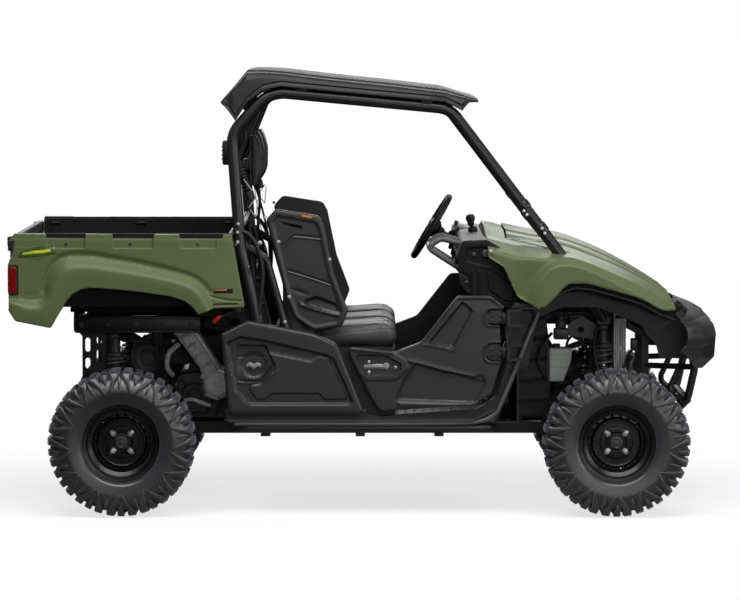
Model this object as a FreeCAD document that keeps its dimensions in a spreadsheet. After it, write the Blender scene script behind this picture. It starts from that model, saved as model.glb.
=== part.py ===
import FreeCAD, Part
import Sketcher
import math
import os

# Side by side utility vehicle, in millimetres.
# +X points forward, +Y to the driver's left and +Z up.
# The origin is on the ground, halfway along the vehicle and on its centre plane.

SIZES = [
    # Overall sizes
    ("overall_length", 3100), ("overall_width", 1570), ("wheelbase", 2135),
    ("front_overhang", 465), ("body_half_width", 715),
    # Wheels
    ("tyre_diameter", 638), ("front_tyre_width", 205), ("rear_tyre_width", 255),
    ("tread_facets", 36), ("lug_depth", 18), ("lug_slant", 7), ("rim_diameter", 335), ("bead_diameter",
                                                                                       305),
                                                                                       ("rim_metal", 5),
    ("rim_dish", 62), ("rim_hole_count", 20), ("rim_hole_diameter", 13), ("rim_hole_circle", 232),
    ("stud_circle", 110), ("nut_count", 4), ("nut_size", 22), ("nut_height", 16),
    ("hub_diameter", 78), ("hub_reach", 52), ("running_gap", 0.3), ("brake_disc_diameter", 210),
    # Steering and suspension
    ("kingpin_y", 575), ("kingpin_half_height", 90), ("carrier_y", 548), ("arm_tube", 30),
    ("joint_height", 26), ("arm_spread", 125), ("upper_arm_spread", 70), ("arm_inner_y", 240),
    ("lower_arm_inner_z", 335), ("upper_arm_inner_z", 455), ("steering_arm", 105),
    ("rack_height", 425), ("rack_half", 205), ("rack_gap", 0.4), ("tie_rod", 16),
    ("half_shaft", 26), ("propshaft", 24), ("propshaft_z", 350), ("spring_diameter", 70),
    ("spring_wire", 10), ("spring_turns", 7), ("shock_offset", 42), ("shock_lower_y", 480),
    ("shock_upper_y", 455), ("front_shock_top", 815), ("rear_shock_top", 776),
    # Chassis
    ("rail_y", 190), ("rail_width", 50), ("rail_bottom", 312), ("rail_height", 45),
    ("rail_rear_overhang", 190), ("rail_front_overhang", 205), ("side_bar_y", 681), ("side_bar_z", 381),
    ("side_bar_tube", 42), ("side_bar_front", 570), ("side_bar_rear", -578),
    ("rear_plate_y", 440), ("rear_plate", 6), ("upper_rail_width", 40),
    ("upper_rail_bottom", 776), ("upper_rail_height", 72), ("upper_rail_rear", -1265),
    ("upper_rail_front", -717), ("hitch_tube", 64), ("hitch_wall", 6.35), ("hitch_z", 362),
    ("hitch_length", 150), ("hitch_overhang", 105), ("tongue_hole", 19.6), ("tongue_width", 76),
    ("tongue_thickness", 10), ("tongue_reach", 43), ("tongue_edge", 23),
    # Cab
    ("floor_thickness", 8), ("deck_top", 725), ("deck_wall", 12), ("door_thickness", 40),
    ("hinge_x", 614), ("hinge_pin", 12), ("hinge_clearance", 0.06), ("cage_tube", 50),
    ("cage_y", 640), ("roof_wall", 8), ("roof_half_width", 676), ("seat_width", 400),
    ("centre_seat_width", 370), ("seat_gap", 12), ("restraint_thickness", 45),
    ("steering_wheel_diameter", 340), ("steering_wheel_grip", 30), ("steering_wheel_y", 330),
    ("steering_column_angle", 31),
    # Cargo bed
    ("bed_front", -570), ("bed_rear", -1500), ("bed_floor", 905), ("bed_rail", 1216),
    ("bed_wall", 22), ("bed_floor_plate", 14), ("bed_inner_half", 655), ("bed_half_width", 735),
    ("flare", 38),
    ("bed_pivot_x", -1250), ("bed_pivot_z", 878), ("bed_beam_y", 398), ("bed_beam_width", 36),
    ("bed_beam_bottom", 862), ("bed_rest_gap", 0.3), ("tailgate_thickness", 32),
    ("tailgate_gap", 6), ("tailgate_pivot_x", -1518), ("tailgate_pivot_z", 936),
    # Front body
    ("hood_half_width", 425), ("hood_gap", 6), ("hood_pivot_x", 1330), ("hood_pivot_z", 898),
    ("panel_wall", 8),
]

doc = FreeCAD.newDocument("side_by_side")
sheet = doc.addObject("Spreadsheet::Sheet", "Dimensions")
for row, (alias, number) in enumerate(SIZES, 1):
    sheet.set(f"A{row}", alias.replace("_", " "))
    sheet.set(f"B{row}", str(number))
    sheet.setAlias(f"B{row}", alias)
doc.recompute()


class Size(float):
    """A length that also remembers the spreadsheet expression it comes from."""

    def __new__(cls, value, text):
        made = float.__new__(cls, value)
        made.text = text
        return made

    def __add__(self, other):
        return Size(float(self) + float(other), f"({self.text} + {text_of(other)})")

    def __radd__(self, other):
        return Size(float(other) + float(self), f"({text_of(other)} + {self.text})")

    def __sub__(self, other):
        return Size(float(self) - float(other), f"({self.text} - {text_of(other)})")

    def __rsub__(self, other):
        return Size(float(other) - float(self), f"({text_of(other)} - {self.text})")

    def __mul__(self, other):
        return Size(float(self) * float(other), f"({self.text} * {text_of(other)})")

    def __rmul__(self, other):
        return Size(float(other) * float(self), f"({text_of(other)} * {self.text})")

    def __truediv__(self, other):
        return Size(float(self) / float(other), f"({self.text} / {text_of(other)})")

    def __neg__(self):
        return Size(-float(self), f"(0 - {self.text})")


def text_of(value):
    return value.text if isinstance(value, Size) else f"{float(value):.6g}"


class Sizes:
    """The cells of the sheet by name."""

    def __init__(self):
        for alias, _ in SIZES:
            setattr(self, alias, Size(float(sheet.get(alias)), f"Dimensions.{alias}"))


S = Sizes()
parts = []


def vector(x, y, z):
    return FreeCAD.Vector(float(x), float(y), float(z))


def keep(obj, label):
    """Marks an object as a finished sub-part with its own file."""
    obj.Label = label
    parts.append(obj)
    return obj


def parts_by(label):
    """The shape of a finished sub-part."""
    part = next(part for part in parts if part.Label == label)
    if part.Shape.isNull():
        doc.recompute()
    return part.Shape


def place(obj, x, y, z, rotation=None):
    obj.Placement = FreeCAD.Placement(vector(x, y, z), rotation or FreeCAD.Rotation())
    for axis, value in zip("xyz", (x, y, z)):
        if isinstance(value, Size):
            obj.setExpression(f"Placement.Base.{axis}", value.text)
    return obj


def bind(obj, prop, value):
    setattr(obj, prop, float(value))
    if isinstance(value, Size):
        obj.setExpression(prop, value.text)


def box(name, x, y, z):
    """A block between two values on each axis."""
    obj = doc.addObject("Part::Box", name)
    for prop, (low, high) in zip(("Length", "Width", "Height"), (x, y, z)):
        bind(obj, prop, high - low)
    return place(obj, x[0], y[0], z[0])


TURNS = {
    "x": FreeCAD.Rotation(FreeCAD.Vector(0, 1, 0), 90),
    "y": FreeCAD.Rotation(FreeCAD.Vector(1, 0, 0), -90),
    "z": FreeCAD.Rotation(),
}


def rod(name, radius, axis, start, length):
    """A cylinder from start along +X, +Y or +Z."""
    obj = doc.addObject("Part::Cylinder", name)
    bind(obj, "Radius", radius)
    bind(obj, "Height", length)
    return place(obj, *start, TURNS[axis])


def fuse(name, pieces):
    obj = doc.addObject("Part::MultiFuse", name)
    obj.Shapes = pieces
    return obj


def cut(name, base, tool):
    obj = doc.addObject("Part::Cut", name)
    obj.Base = base
    obj.Tool = tool
    return obj


def mirror(name, source):
    """The same piece on the other side of the centre plane."""
    obj = doc.addObject("Part::Mirroring", name)
    obj.Source = source
    obj.Base = FreeCAD.Vector(0, 0, 0)
    obj.Normal = FreeCAD.Vector(0, 1, 0)
    return obj


def feature(name, shape):
    obj = doc.addObject("Part::Feature", name)
    obj.Shape = shape
    return obj


def plane_of(body, role):
    return next(f for f in body.Origin.OriginFeatures if f.Role == role)


def sketch_polygon(body, role, name, points):
    """A closed outline whose corners are bound to the sheet."""
    sketch = body.newObject("Sketcher::SketchObject", name)
    sketch.AttachmentSupport = [(plane_of(body, role), "")]
    sketch.MapMode = "FlatFace"
    count = len(points)
    for i, (u, v) in enumerate(points):
        u2, v2 = points[(i + 1) % count]
        sketch.addGeometry(Part.LineSegment(vector(u, v, 0), vector(u2, v2, 0)), False)
    for i in range(count):
        sketch.addConstraint(Sketcher.Constraint("Coincident", i, 2, (i + 1) % count, 1))
    for i, corner in enumerate(points):
        for kind, value in zip(("DistanceX", "DistanceY"), corner):
            index = sketch.addConstraint(Sketcher.Constraint(kind, i, 1, float(value)))
            if isinstance(value, Size):
                sketch.setExpression(f"Constraints[{index}]", value.text)
    return sketch


def sketch_circle(body, role, name, u, v, radius):
    sketch = body.newObject("Sketcher::SketchObject", name)
    sketch.AttachmentSupport = [(plane_of(body, role), "")]
    sketch.MapMode = "FlatFace"
    normal = FreeCAD.Vector(0, 0, 1)
    sketch.addGeometry(Part.Circle(vector(u, v, 0), normal, float(radius)), False)
    for kind, arguments, value in (
        ("DistanceX", (0, 3), u), ("DistanceY", (0, 3), v), ("Radius", (0,), radius),
    ):
        index = sketch.addConstraint(Sketcher.Constraint(kind, *arguments, float(value)))
        if isinstance(value, Size):
            sketch.setExpression(f"Constraints[{index}]", value.text)
    return sketch


def profile_body(name, points, y, pockets=()):
    """A plate cut to a side outline in X and Z, from y[0] to y[1], with openings through it."""
    body = doc.addObject("PartDesign::Body", name)
    pad = body.newObject("PartDesign::Pad", f"{name}_pad")
    pad.Profile = sketch_polygon(body, "XZ_Plane", f"{name}_outline", points)
    bind(pad, "Length", y[1] - y[0])
    pad.Midplane = True
    for i, outline in enumerate(pockets):
        hole = body.newObject("PartDesign::Pocket", f"{name}_opening_{i}")
        hole.Profile = sketch_polygon(body, "XZ_Plane", f"{name}_opening_outline_{i}", outline)
        hole.Type = "ThroughAll"
        hole.Midplane = True
    place(body, 0, (y[0] + y[1]) / 2, 0)
    return body


def rounded_wire(points):
    """A closed outline through corners (point, radius); a radius of 0 leaves a corner sharp."""
    count = len(points)
    ends = []
    for i, (corner, radius) in enumerate(points):
        before = points[i - 1][0]
        after = points[(i + 1) % count][0]
        back = (before - corner).normalize()
        ahead = (after - corner).normalize()
        if radius <= 0:
            ends.append((corner, None, corner))
            continue
        half = back.getAngle(ahead) / 2
        reach = radius / math.tan(half)
        middle = (back + ahead).normalize()
        apex = corner + middle * (radius / math.sin(half) - radius)
        ends.append((corner + back * reach, apex, corner + ahead * reach))
    edges = []
    for i, (start, apex, end) in enumerate(ends):
        if apex is not None:
            edges.append(Part.Arc(start, apex, end).toShape())
        following = ends[(i + 1) % count][0]
        if end.distanceToPoint(following) > 1e-6:
            edges.append(Part.LineSegment(end, following).toShape())
    return Part.Wire(edges)


def side_prism(points, y_low, y_high):
    """A solid with a side outline of (x, z) or (x, z, corner radius) between two values of Y."""
    corners = [(vector(p[0], y_low, p[1]), p[2] if len(p) > 2 else 0) for p in points]
    face = Part.Face(rounded_wire(corners))
    return face.extrude(vector(0, y_high - y_low, 0))


def centreline(points, bend):
    """An open path of straight runs joined by tangent arcs of one radius, or of one per corner."""
    bends = bend if isinstance(bend, (list, tuple)) else [bend] * (len(points) - 2)
    edges = []
    start = points[0]
    for i in range(1, len(points) - 1):
        corner = points[i]
        back = (points[i - 1] - corner).normalize()
        ahead = (points[i + 1] - corner).normalize()
        half = back.getAngle(ahead) / 2
        radius = bends[i - 1]
        reach = radius / math.tan(half)
        apex = corner + (back + ahead).normalize() * (radius / math.sin(half) - radius)
        edges.append(Part.LineSegment(start, corner + back * reach).toShape())
        edges.append(Part.Arc(corner + back * reach, apex, corner + ahead * reach).toShape())
        start = corner + ahead * reach
    edges.append(Part.LineSegment(start, points[-1]).toShape())
    return Part.Wire(edges)


def tube(points, radius, bend=0):
    """A round bar along a bent path."""
    path = centreline(points, bend) if len(points) > 2 else Part.Wire(
        Part.LineSegment(points[0], points[1]).toShape())
    circle = Part.Circle(points[0], points[1] - points[0], float(radius)).toShape()
    return path.makePipeShell([Part.Wire(circle)], True, False)


def joined(shapes):
    return shapes[0].multiFuse(shapes[1:]).removeSplitter() if len(shapes) > 1 else shapes[0]


def largest(shape):
    return max(shape.Solids, key=lambda solid: solid.Volume)


def mirrored(shape):
    return shape.mirror(FreeCAD.Vector(0, 0, 0), FreeCAD.Vector(0, 1, 0))


def section_loft(stations):
    """A ruled solid through cross-sections (x, [(y, z), ...]) that have the same number of corners."""
    wires = []
    for x, outline in stations:
        corners = [vector(x, y, z) for y, z in outline]
        wires.append(Part.makePolygon(corners + corners[:1]))
    return Part.makeLoft(wires, True, True)


# The part of a tyre's half width where its beads sit on the rim
RIM_SHARE = 0.62

# How far a lug's inner end lies below its outer end
LUG_CROWN = 1

# Places that several pieces share
front_axle = S.overall_length / 2 - S.front_overhang
rear_axle = front_axle - S.wheelbase
rail_front = front_axle + S.rail_front_overhang
rail_rear = rear_axle - S.rail_rear_overhang
hitch_rear = rail_rear - S.hitch_overhang
axle_height = S.tyre_diameter / 2
front_wheel_y = S.overall_width / 2 - S.front_tyre_width / 2
rear_wheel_y = S.overall_width / 2 - S.rear_tyre_width / 2
rail_top = S.rail_bottom + S.rail_height
upper_rail_top = S.upper_rail_bottom + S.upper_rail_height
side_bar_top = S.side_bar_z + S.side_bar_tube / 2


def tyre_outline(width, lugged):
    """Half of the tyre's section as (Y, radius, turn), from the bead to beside the middle."""
    half = float(width) / 2
    outer = float(S.tyre_diameter) / 2
    bead = float(S.bead_diameter) / 2
    lip = float(S.rim_diameter) / 2
    seat = half * RIM_SHARE
    depth = 0 if lugged else float(S.lug_depth)
    wall = [(seat, bead, 0), (seat, lip + 2, 0), (half * 0.97, lip + 62, 0)]
    shoulder = [(half - depth * 0.4, outer - 48 - depth * 0.4, 0), (half * 0.86 - depth * 0.2,
                                                                    outer - depth, 0)]
    return wall + shoulder + [(half * 0.06, outer - LUG_CROWN - depth, float(S.lug_slant))]


def tyre_shape(width):
    """A tyre whose facets carry a lug on one side and then on the other."""
    plain, lug = tyre_outline(width, False), tyre_outline(width, True)
    middle = (0, float(S.tyre_diameter) / 2 - float(S.lug_depth), float(S.lug_slant))
    count = int(S.tread_facets)
    stretch = 1 / math.cos(math.pi / count)

    def corner(step, point, side):
        y, radius, slant = point
        angle = 2 * math.pi * (step + 0.5) / count + math.radians(slant)
        reach = radius * (1 if slant else stretch)
        return vector(reach * math.sin(angle), side * y, reach * math.cos(angle))

    def triangle(*corners):
        return Part.Face(Part.makePolygon(list(corners) + [corners[0]]))

    faces = []
    for step in range(count):
        left, right = (lug, plain) if step % 2 else (plain, lug)
        ring = [(point, 1) for point in left] + [(middle, 1)] + [(point, -1) for point in reversed(right)]
        here = [corner(step, *place_at) for place_at in ring]
        there = [corner(step + 1, *place_at) for place_at in ring]
        for j in range(len(ring)):
            k = (j + 1) % len(ring)
            faces.append(triangle(here[j], here[k], there[k]))
            faces.append(triangle(here[j], there[k], there[j]))
        for side in (1, -1):
            tops = [corner(step, point, side) for point in [*lug[2:], middle]]
            feet = [corner(step, point, side) for point in [*plain[2:], middle]]
            for j in range(len(tops) - 1):
                if j:
                    faces.append(triangle(tops[j], tops[j + 1], feet[j]))
                if j < len(tops) - 2:
                    faces.append(triangle(feet[j], tops[j + 1], feet[j + 1]))
    solid = Part.Solid(Part.makeShell(faces))
    if solid.Volume < 0:
        solid.reverse()
    return solid


def rim_body(name, width):
    """A pressed steel wheel with its hub: barrel, dished disc, ring of vents and four nuts."""
    lip = S.rim_diameter / 2
    bead = S.bead_diameter / 2
    half = width / 2 * RIM_SHARE
    t = S.rim_metal
    disc = half - S.rim_dish
    hub = S.hub_diameter / 2
    bowl = S.rim_hole_circle / 2
    rotor = S.brake_disc_diameter / 2
    drop = 22
    inner = -(S.hub_reach)
    body = doc.addObject("PartDesign::Body", name)
    profile = sketch_polygon(body, "XY_Plane", f"{name}_section", [
        (0, inner), (hub * 0.8, inner), (hub * 0.8, inner + 8), (rotor, inner + 8),
        (rotor, inner + 13), (hub * 0.8, inner + 13), (hub * 0.8, disc - 14),
        (bowl - 30, disc - 14), (bowl - 30, disc - t), (bowl - 18, disc - t),
        (bowl - 10, disc - 16), (bead - drop - t, disc - 16),
        (bead - drop - t, -(half - 26)), (bead - t, -(half - 10)),
        (bead - t, -(half + t)), (lip, -(half + t)), (lip, -half), (bead, -half),
        (bead, -(half - 12)),
        (bead - drop, -(half - 30)), (bead - drop, half - 30), (bead, half - 12),
        (bead, half), (lip, half), (lip, half + t), (bead - t, half + t),
        (bead - t, half - 10), (bead - drop - t, half - 26), (bead - drop - t, disc - 10),
        (bowl - 6, disc - 10), (bowl - 15, disc), (hub, disc), (hub * 0.72, disc + 24),
        (0, disc + 28),
    ])
    turned = body.newObject("PartDesign::Revolution", f"{name}_turned")
    turned.Profile = profile
    turned.ReferenceAxis = (profile, ["V_Axis"])
    turned.Angle = 360
    vent = body.newObject("PartDesign::Pocket", f"{name}_vent")
    vent.Profile = sketch_circle(body, "XZ_Plane", f"{name}_vent_circle",
                                 S.rim_hole_circle / 2, 0, S.rim_hole_diameter / 2)
    vent.Type = "ThroughAll"
    vent.Midplane = True
    vents = body.newObject("PartDesign::PolarPattern", f"{name}_vents")
    vents.Originals = [vent]
    vents.Axis = (profile, ["V_Axis"])
    vents.Angle = 360
    vents.Occurrences = int(S.rim_hole_count)
    vents.setExpression("Occurrences", S.rim_hole_count.text)
    body.Tip = vents
    base = doc.addObject("Part::Compound", f"{name}_nuts")
    nuts = []
    for i in range(int(S.nut_count)):
        angle = 2 * math.pi * (i + 0.5) / int(S.nut_count)
        nut = doc.addObject("Part::Prism", f"{name}_nut_{i}")
        nut.Polygon = 6
        bind(nut, "Circumradius", S.nut_size / 2)
        bind(nut, "Height", S.nut_height)
        radius = float(S.stud_circle) / 2
        place(nut, radius * math.cos(angle), disc, radius * math.sin(angle), TURNS["y"])
        nuts.append(nut)
    base.Links = nuts
    return fuse(f"{name}_with_nuts", [body, base])


def wheels():
    """Tyres and rims. The outer face of each is at +Y in its own frame."""
    corners = [
        ("front_left", front_axle, front_wheel_y, S.front_tyre_width),
        ("front_right", front_axle, -front_wheel_y, S.front_tyre_width),
        ("rear_left", rear_axle, rear_wheel_y, S.rear_tyre_width),
        ("rear_right", rear_axle, -rear_wheel_y, S.rear_tyre_width),
    ]
    for name, x, y, width in corners:
        turn = FreeCAD.Rotation() if y > 0 else FreeCAD.Rotation(FreeCAD.Vector(0, 0, 1), 180)
        tyre = feature(f"tyre_{name}_solid", tyre_shape(width))
        place(tyre, x, y, axle_height, turn)
        keep(tyre, f"tyre_{name}")
        rim = rim_body(f"rim_{name}_metal", width)
        place(rim, x, y, axle_height, turn)
        keep(rim, f"rim_{name}")


def spindle(x, wheel_y, post_y, short, name):
    """An upright with its boss, which ends just short of the hub. Drawn on the left side."""
    low, high = axle_height - S.kingpin_half_height, axle_height + S.kingpin_half_height
    post = rod(f"{name}_post", 16, "z", (x, post_y, low + short), high - low - short * 2)
    boss_in = post_y - 26
    boss = rod(f"{name}_boss", 30, "y", (x, boss_in, axle_height),
               wheel_y - S.hub_reach - S.running_gap - boss_in)
    return [post, boss]


def knuckles():
    """Steered uprights. The arm points back to the tie rod."""
    pieces = spindle(front_axle, front_wheel_y, S.kingpin_y, S.joint_height / 2 + S.running_gap,
                     "knuckle")
    arm = feature("knuckle_arm", tube([
        vector(front_axle, S.kingpin_y, axle_height + 45),
        vector(front_axle - S.steering_arm, S.kingpin_y, S.rack_height)], 9))
    left = fuse("knuckle_metal", pieces + [arm])
    keep(left, "knuckle_left")
    keep(mirror("knuckle_metal_right", left), "knuckle_right")


def wishbone(x, outer_y, spread, inner_z, outer_z):
    """Two tubes from the frame to one joint, drawn on the left side."""
    joint = vector(x, outer_y, outer_z)
    radius = float(S.arm_tube) / 2
    reach = float(S.arm_inner_y)
    pieces = []
    for end in (-1, 1):
        inner = vector(x + end * float(spread), reach, inner_z)
        pieces.append(tube([inner, joint], radius))
        pieces.append(Part.makeCylinder(radius + 4, 56, inner - vector(28, 0, 0), vector(1, 0, 0)))
    tall = float(S.joint_height)
    pieces.append(Part.makeCylinder(radius + 2, tall, joint - vector(0, 0, tall / 2), vector(0, 0, 1)))
    arm = joined(pieces)
    for start in (tall / 2, -tall / 2 - 40):
        arm = arm.cut(Part.makeCylinder(radius + 9, 40, joint + vector(0, 0, start), vector(0, 0, 1)))
    return arm


def control_arms():
    """Upper and lower arms of both axles. The rear ones carry the fixed hub carriers."""
    low = float(axle_height - S.kingpin_half_height)
    high = float(axle_height + S.kingpin_half_height)
    for name, x, outer in (("front", front_axle, S.kingpin_y), ("rear", rear_axle, S.carrier_y)):
        lower = wishbone(x, outer, S.arm_spread, S.lower_arm_inner_z, low)
        upper = wishbone(x, outer, S.upper_arm_spread, S.upper_arm_inner_z, high)
        seat_z = shock_seat(outer) - 16
        seat = Part.makeBox(70, 36, 26, vector(x - 60, S.shock_lower_y - 18, seat_z - 26))
        upper = joined([upper, seat])
        shapes = [lower, upper]
        if name == "rear":
            carrier = fuse("carrier", spindle(x, rear_wheel_y, outer, 0, "carrier"))
            doc.recompute()
            shapes = [joined([lower, upper, carrier.Shape])]
        arms = Part.makeCompound(shapes + [mirrored(s) for s in shapes])
        keep(feature(f"{name}_arms", arms), f"{name}_control_arms")


def shock_seat(outer_y):
    """Height of a damper's lower eye above its arm."""
    inner_z, outer_z = float(S.upper_arm_inner_z), float(axle_height + S.kingpin_half_height)
    share = (float(S.shock_lower_y) - float(S.arm_inner_y)) / (float(outer_y) - float(S.arm_inner_y))
    return inner_z + (outer_z - inner_z) * share + float(S.arm_tube) / 2 + 22


def shocks():
    """Dampers with their coil springs as one ribbed turning each."""
    for name, x, outer, top in (
        ("front", front_axle, S.kingpin_y, S.front_shock_top),
        ("rear", rear_axle, S.carrier_y, S.rear_shock_top),
    ):
        foot = vector(x - S.shock_offset, S.shock_lower_y, shock_seat(outer))
        head = vector(x - S.shock_offset, S.shock_upper_y, top - 16)
        length = foot.distanceToPoint(head)
        coil = float(S.spring_diameter) / 2
        wire = float(S.spring_wire)
        outline = [(0, 0), (11, 0), (11, 40), (30, 40), (30, 48)]
        turns = int(S.spring_turns)
        pitch = (length - 130) / turns
        for i in range(turns):
            base = 48 + pitch * i
            outline += [(22, base), (22, base + pitch / 2 - wire / 2), (coil,
                                                                        base + pitch / 2 - wire / 2),
                        (coil, base + pitch / 2 + wire / 2), (22, base + pitch / 2 + wire / 2)]
        end = length - 82
        outline += [(22, end), (30, end), (30, end + 8), (20, end + 8), (20, length), (0, length)]
        face = Part.Face(Part.makePolygon([vector(r, 0, z) for r, z in outline] + [vector(0, 0, 0)]))
        body = face.revolve(vector(0, 0, 0), vector(0, 0, 1), 360)
        turn = FreeCAD.Rotation(vector(0, 0, 1), head - foot)
        body.Placement = FreeCAD.Placement(foot, turn)
        eyes = [Part.makeCylinder(16, 40, point - vector(20, 0, 0), vector(1, 0, 0))
                for point in (foot, head)]
        shock = joined([body] + eyes)
        keep(feature(f"{name}_dampers", Part.makeCompound([shock, mirrored(shock)])), f"{name}_shocks")


def drivelines():
    """Final drives with half shafts, and the shaft that joins them to the engine."""
    shaft = float(S.half_shaft) / 2
    for name, x, outer, box_x, box_z in (
        ("front", front_axle, S.kingpin_y, (front_axle - 65, front_axle + 65), (rail_top, 455)),
        ("rear", rear_axle, S.carrier_y, (rear_axle - 90, rear_axle + 100), (rail_top, 470)),
    ):
        casing = Part.makeBox(box_x[1] - box_x[0], 220, box_z[1] - box_z[0],
                              vector(box_x[0], -110, box_z[0]))
        casing = casing.makeChamfer(18, casing.Edges)
        feet = [Part.makeBox(30, 330 + 2 * 20, 12, vector(x - 15, -185, rail_top))]
        end = vector(x, float(outer) - (45 if name == "front" else 26), axle_height + 2)
        start = vector(x, 100, 402)
        half = joined([tube([start, end], shaft),
                       Part.makeCone(34, 20, 60, start, end - start),
                       Part.makeCone(20, 32, 50, end - (end - start).normalize() * 56, end - start)])
        pieces = [casing, half, mirrored(half)] + feet
        if name == "front":
            pieces.append(tube([vector(-330, 0, S.propshaft_z), vector(front_axle - 60, 0,
                                                                       S.propshaft_z)],
                               float(S.propshaft) / 2))
            pieces.append(Part.makeBox(40, 60, 60, vector(front_axle - 80, -30, S.propshaft_z - 18)))
        shape = joined(pieces).cut(parts_by(f"{name}_control_arms"))
        keep(feature(f"{name}_drive", shape), f"{name}_driveline")


def steering():
    """Rack and column on the chassis, tie rods that slide through the rack, and the wheel."""
    x = float(front_axle - S.steering_arm)
    z = float(S.rack_height)
    rod_radius = float(S.tie_rod) / 2
    end_y = float(S.kingpin_y) - 16
    bar = Part.makeCylinder(rod_radius, 2 * end_y, vector(x, -end_y, z), vector(0, 1, 0))
    boots = [Part.makeCylinder(12, 30, vector(x, side, z), vector(0, 1, 0))
             for side in (end_y - 32, -end_y + 2)]
    keep(feature("rack_bar", joined([bar] + boots)), "tie_rods")
    housing = Part.makeCylinder(20, 2 * S.rack_half, vector(x, -S.rack_half, z), vector(0, 1, 0))
    feet = [Part.makeBox(30, 24, z - rail_top, vector(x - 15, side, rail_top))
            for side in (S.rail_y - 22, -S.rail_y - 2)]
    wheel_point, axis = steering_frame()
    column_end = wheel_point + axis * 400
    shaft = tube([wheel_point + axis * 22, column_end, vector(x - 12, 110, z + 18)], 14, 60)
    bore = Part.makeCylinder(rod_radius + S.rack_gap, 3 * S.rack_half,
                             vector(x, -1.5 * S.rack_half, z), vector(0, 1, 0))
    column = joined([housing, shaft] + feet).cut(bore)
    keep(feature("column_and_rack", column), "steering_column")
    ring = float(S.steering_wheel_diameter) / 2 - float(S.steering_wheel_grip) / 2
    grip = float(S.steering_wheel_grip) / 2
    wheel = [Part.makeTorus(ring, grip), Part.makeCylinder(34, 44, vector(0, 0, -22))]
    for angle in (0, 120, 240):
        spoke = Part.makeBox(ring, 30, 12, vector(0, -15, -10))
        wheel.append(spoke.rotate(vector(0, 0, 0), vector(0, 0, 1), angle + 90))
    shape = joined(wheel)
    shape.Placement = FreeCAD.Placement(wheel_point, FreeCAD.Rotation(vector(0, 0, 1), axis))
    socket = tube([wheel_point + axis * 21, wheel_point + axis * 60], 14.3)
    keep(feature("steering_wheel_solid", shape.cut(socket)), "steering_wheel")


def steering_frame():
    """Centre of the steering wheel and the direction of its column."""
    angle = math.radians(float(S.steering_column_angle))
    return vector(304, S.steering_wheel_y, 1197), vector(math.cos(angle), 0, -math.sin(angle))


def chassis():
    """Rails, cross members, outriggers and the bars along the sides."""
    rails = []
    for side, name in ((1, "left"), (-1, "right")):
        y = (S.rail_y - S.rail_width / 2, S.rail_y + S.rail_width / 2)
        y = y if side > 0 else (-y[1], -y[0])
        rails.append(box(f"rail_{name}", (rail_rear, rail_front), y, (S.rail_bottom, rail_top)))
    inner = S.rail_y - S.rail_width / 2
    for i, x in enumerate((rail_rear + 10, -640, -20, 620, front_axle - 125, rail_front - 60)):
        rails.append(box(f"cross_member_{i}", (x, x + 50), (-inner, inner),
                         (S.rail_bottom, S.rail_bottom + 18)))
    doc.recompute()
    shapes = [rail.Shape for rail in rails]
    half = float(S.side_bar_tube) / 2
    y, z = float(S.side_bar_y), float(S.side_bar_z)
    front, rear = float(S.side_bar_front), float(S.side_bar_rear)
    outside = inner + float(S.rail_width)
    bar = tube([vector(rear + half, outside - half, z), vector(rear + half, y, z),
                vector(front - half, y, z), vector(front - half, outside - half, z)], half, 55)
    bars = [bar]
    bars += [Part.makeBox(40, y - outside, side_bar_top - rail_top + 12, vector(x, outside,
                                                                                rail_top - 12))
             for x in (-450, -40, 300)]
    bars += [Part.makeBox(2 * half, 16, z - rail_top, vector(x - half, outside - 16, rail_top))
             for x in (rear + half, front - half)]
    arms = []
    for post_x in (front_axle - 70, front_axle + 70, rear_axle - 70, rear_axle + 70):
        arms.append(Part.makeBox(28, 25, S.upper_arm_inner_z + 14 - rail_top,
                                 vector(post_x - 14, S.rail_y, rail_top)))
    for x in (front_axle, rear_axle):
        for end in (-1, 1):
            arms.append(Part.makeBox(46, S.arm_inner_y - S.rail_y, 40,
                                     vector(x + end * S.arm_spread - 23, S.rail_y, S.rail_bottom + 2)))
    side = joined(arms)
    frame = joined(shapes + [side, mirrored(side)])
    clear = [parts_by(n) for n in ("front_control_arms", "rear_control_arms")]
    keep(feature("frame_metal", cleared(frame, clear)), "main_frame")
    steps = cleared(joined(bars), [parts_by("main_frame")])
    keep(feature("side_bar_metal", Part.makeCompound([steps, mirrored(steps)])), "side_bars")
    outline = [(rail_rear, S.rail_bottom - 6), (rail_front + 3, S.rail_bottom - 6),
               (rail_front + 62, 430), (rail_front + 55, 433), (rail_front, S.rail_bottom),
               (rail_rear, S.rail_bottom)]
    plate = profile_body("skid_plate_metal", outline, (-(S.rail_y + S.rail_width / 2),
                                                       S.rail_y + S.rail_width / 2))
    keep(plate, "skid_plate")


def cleared(shape, tools):
    """A shape with room made for its neighbours."""
    for tool in tools:
        shape = shape.cut(tool)
    return shape.removeSplitter()


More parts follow.
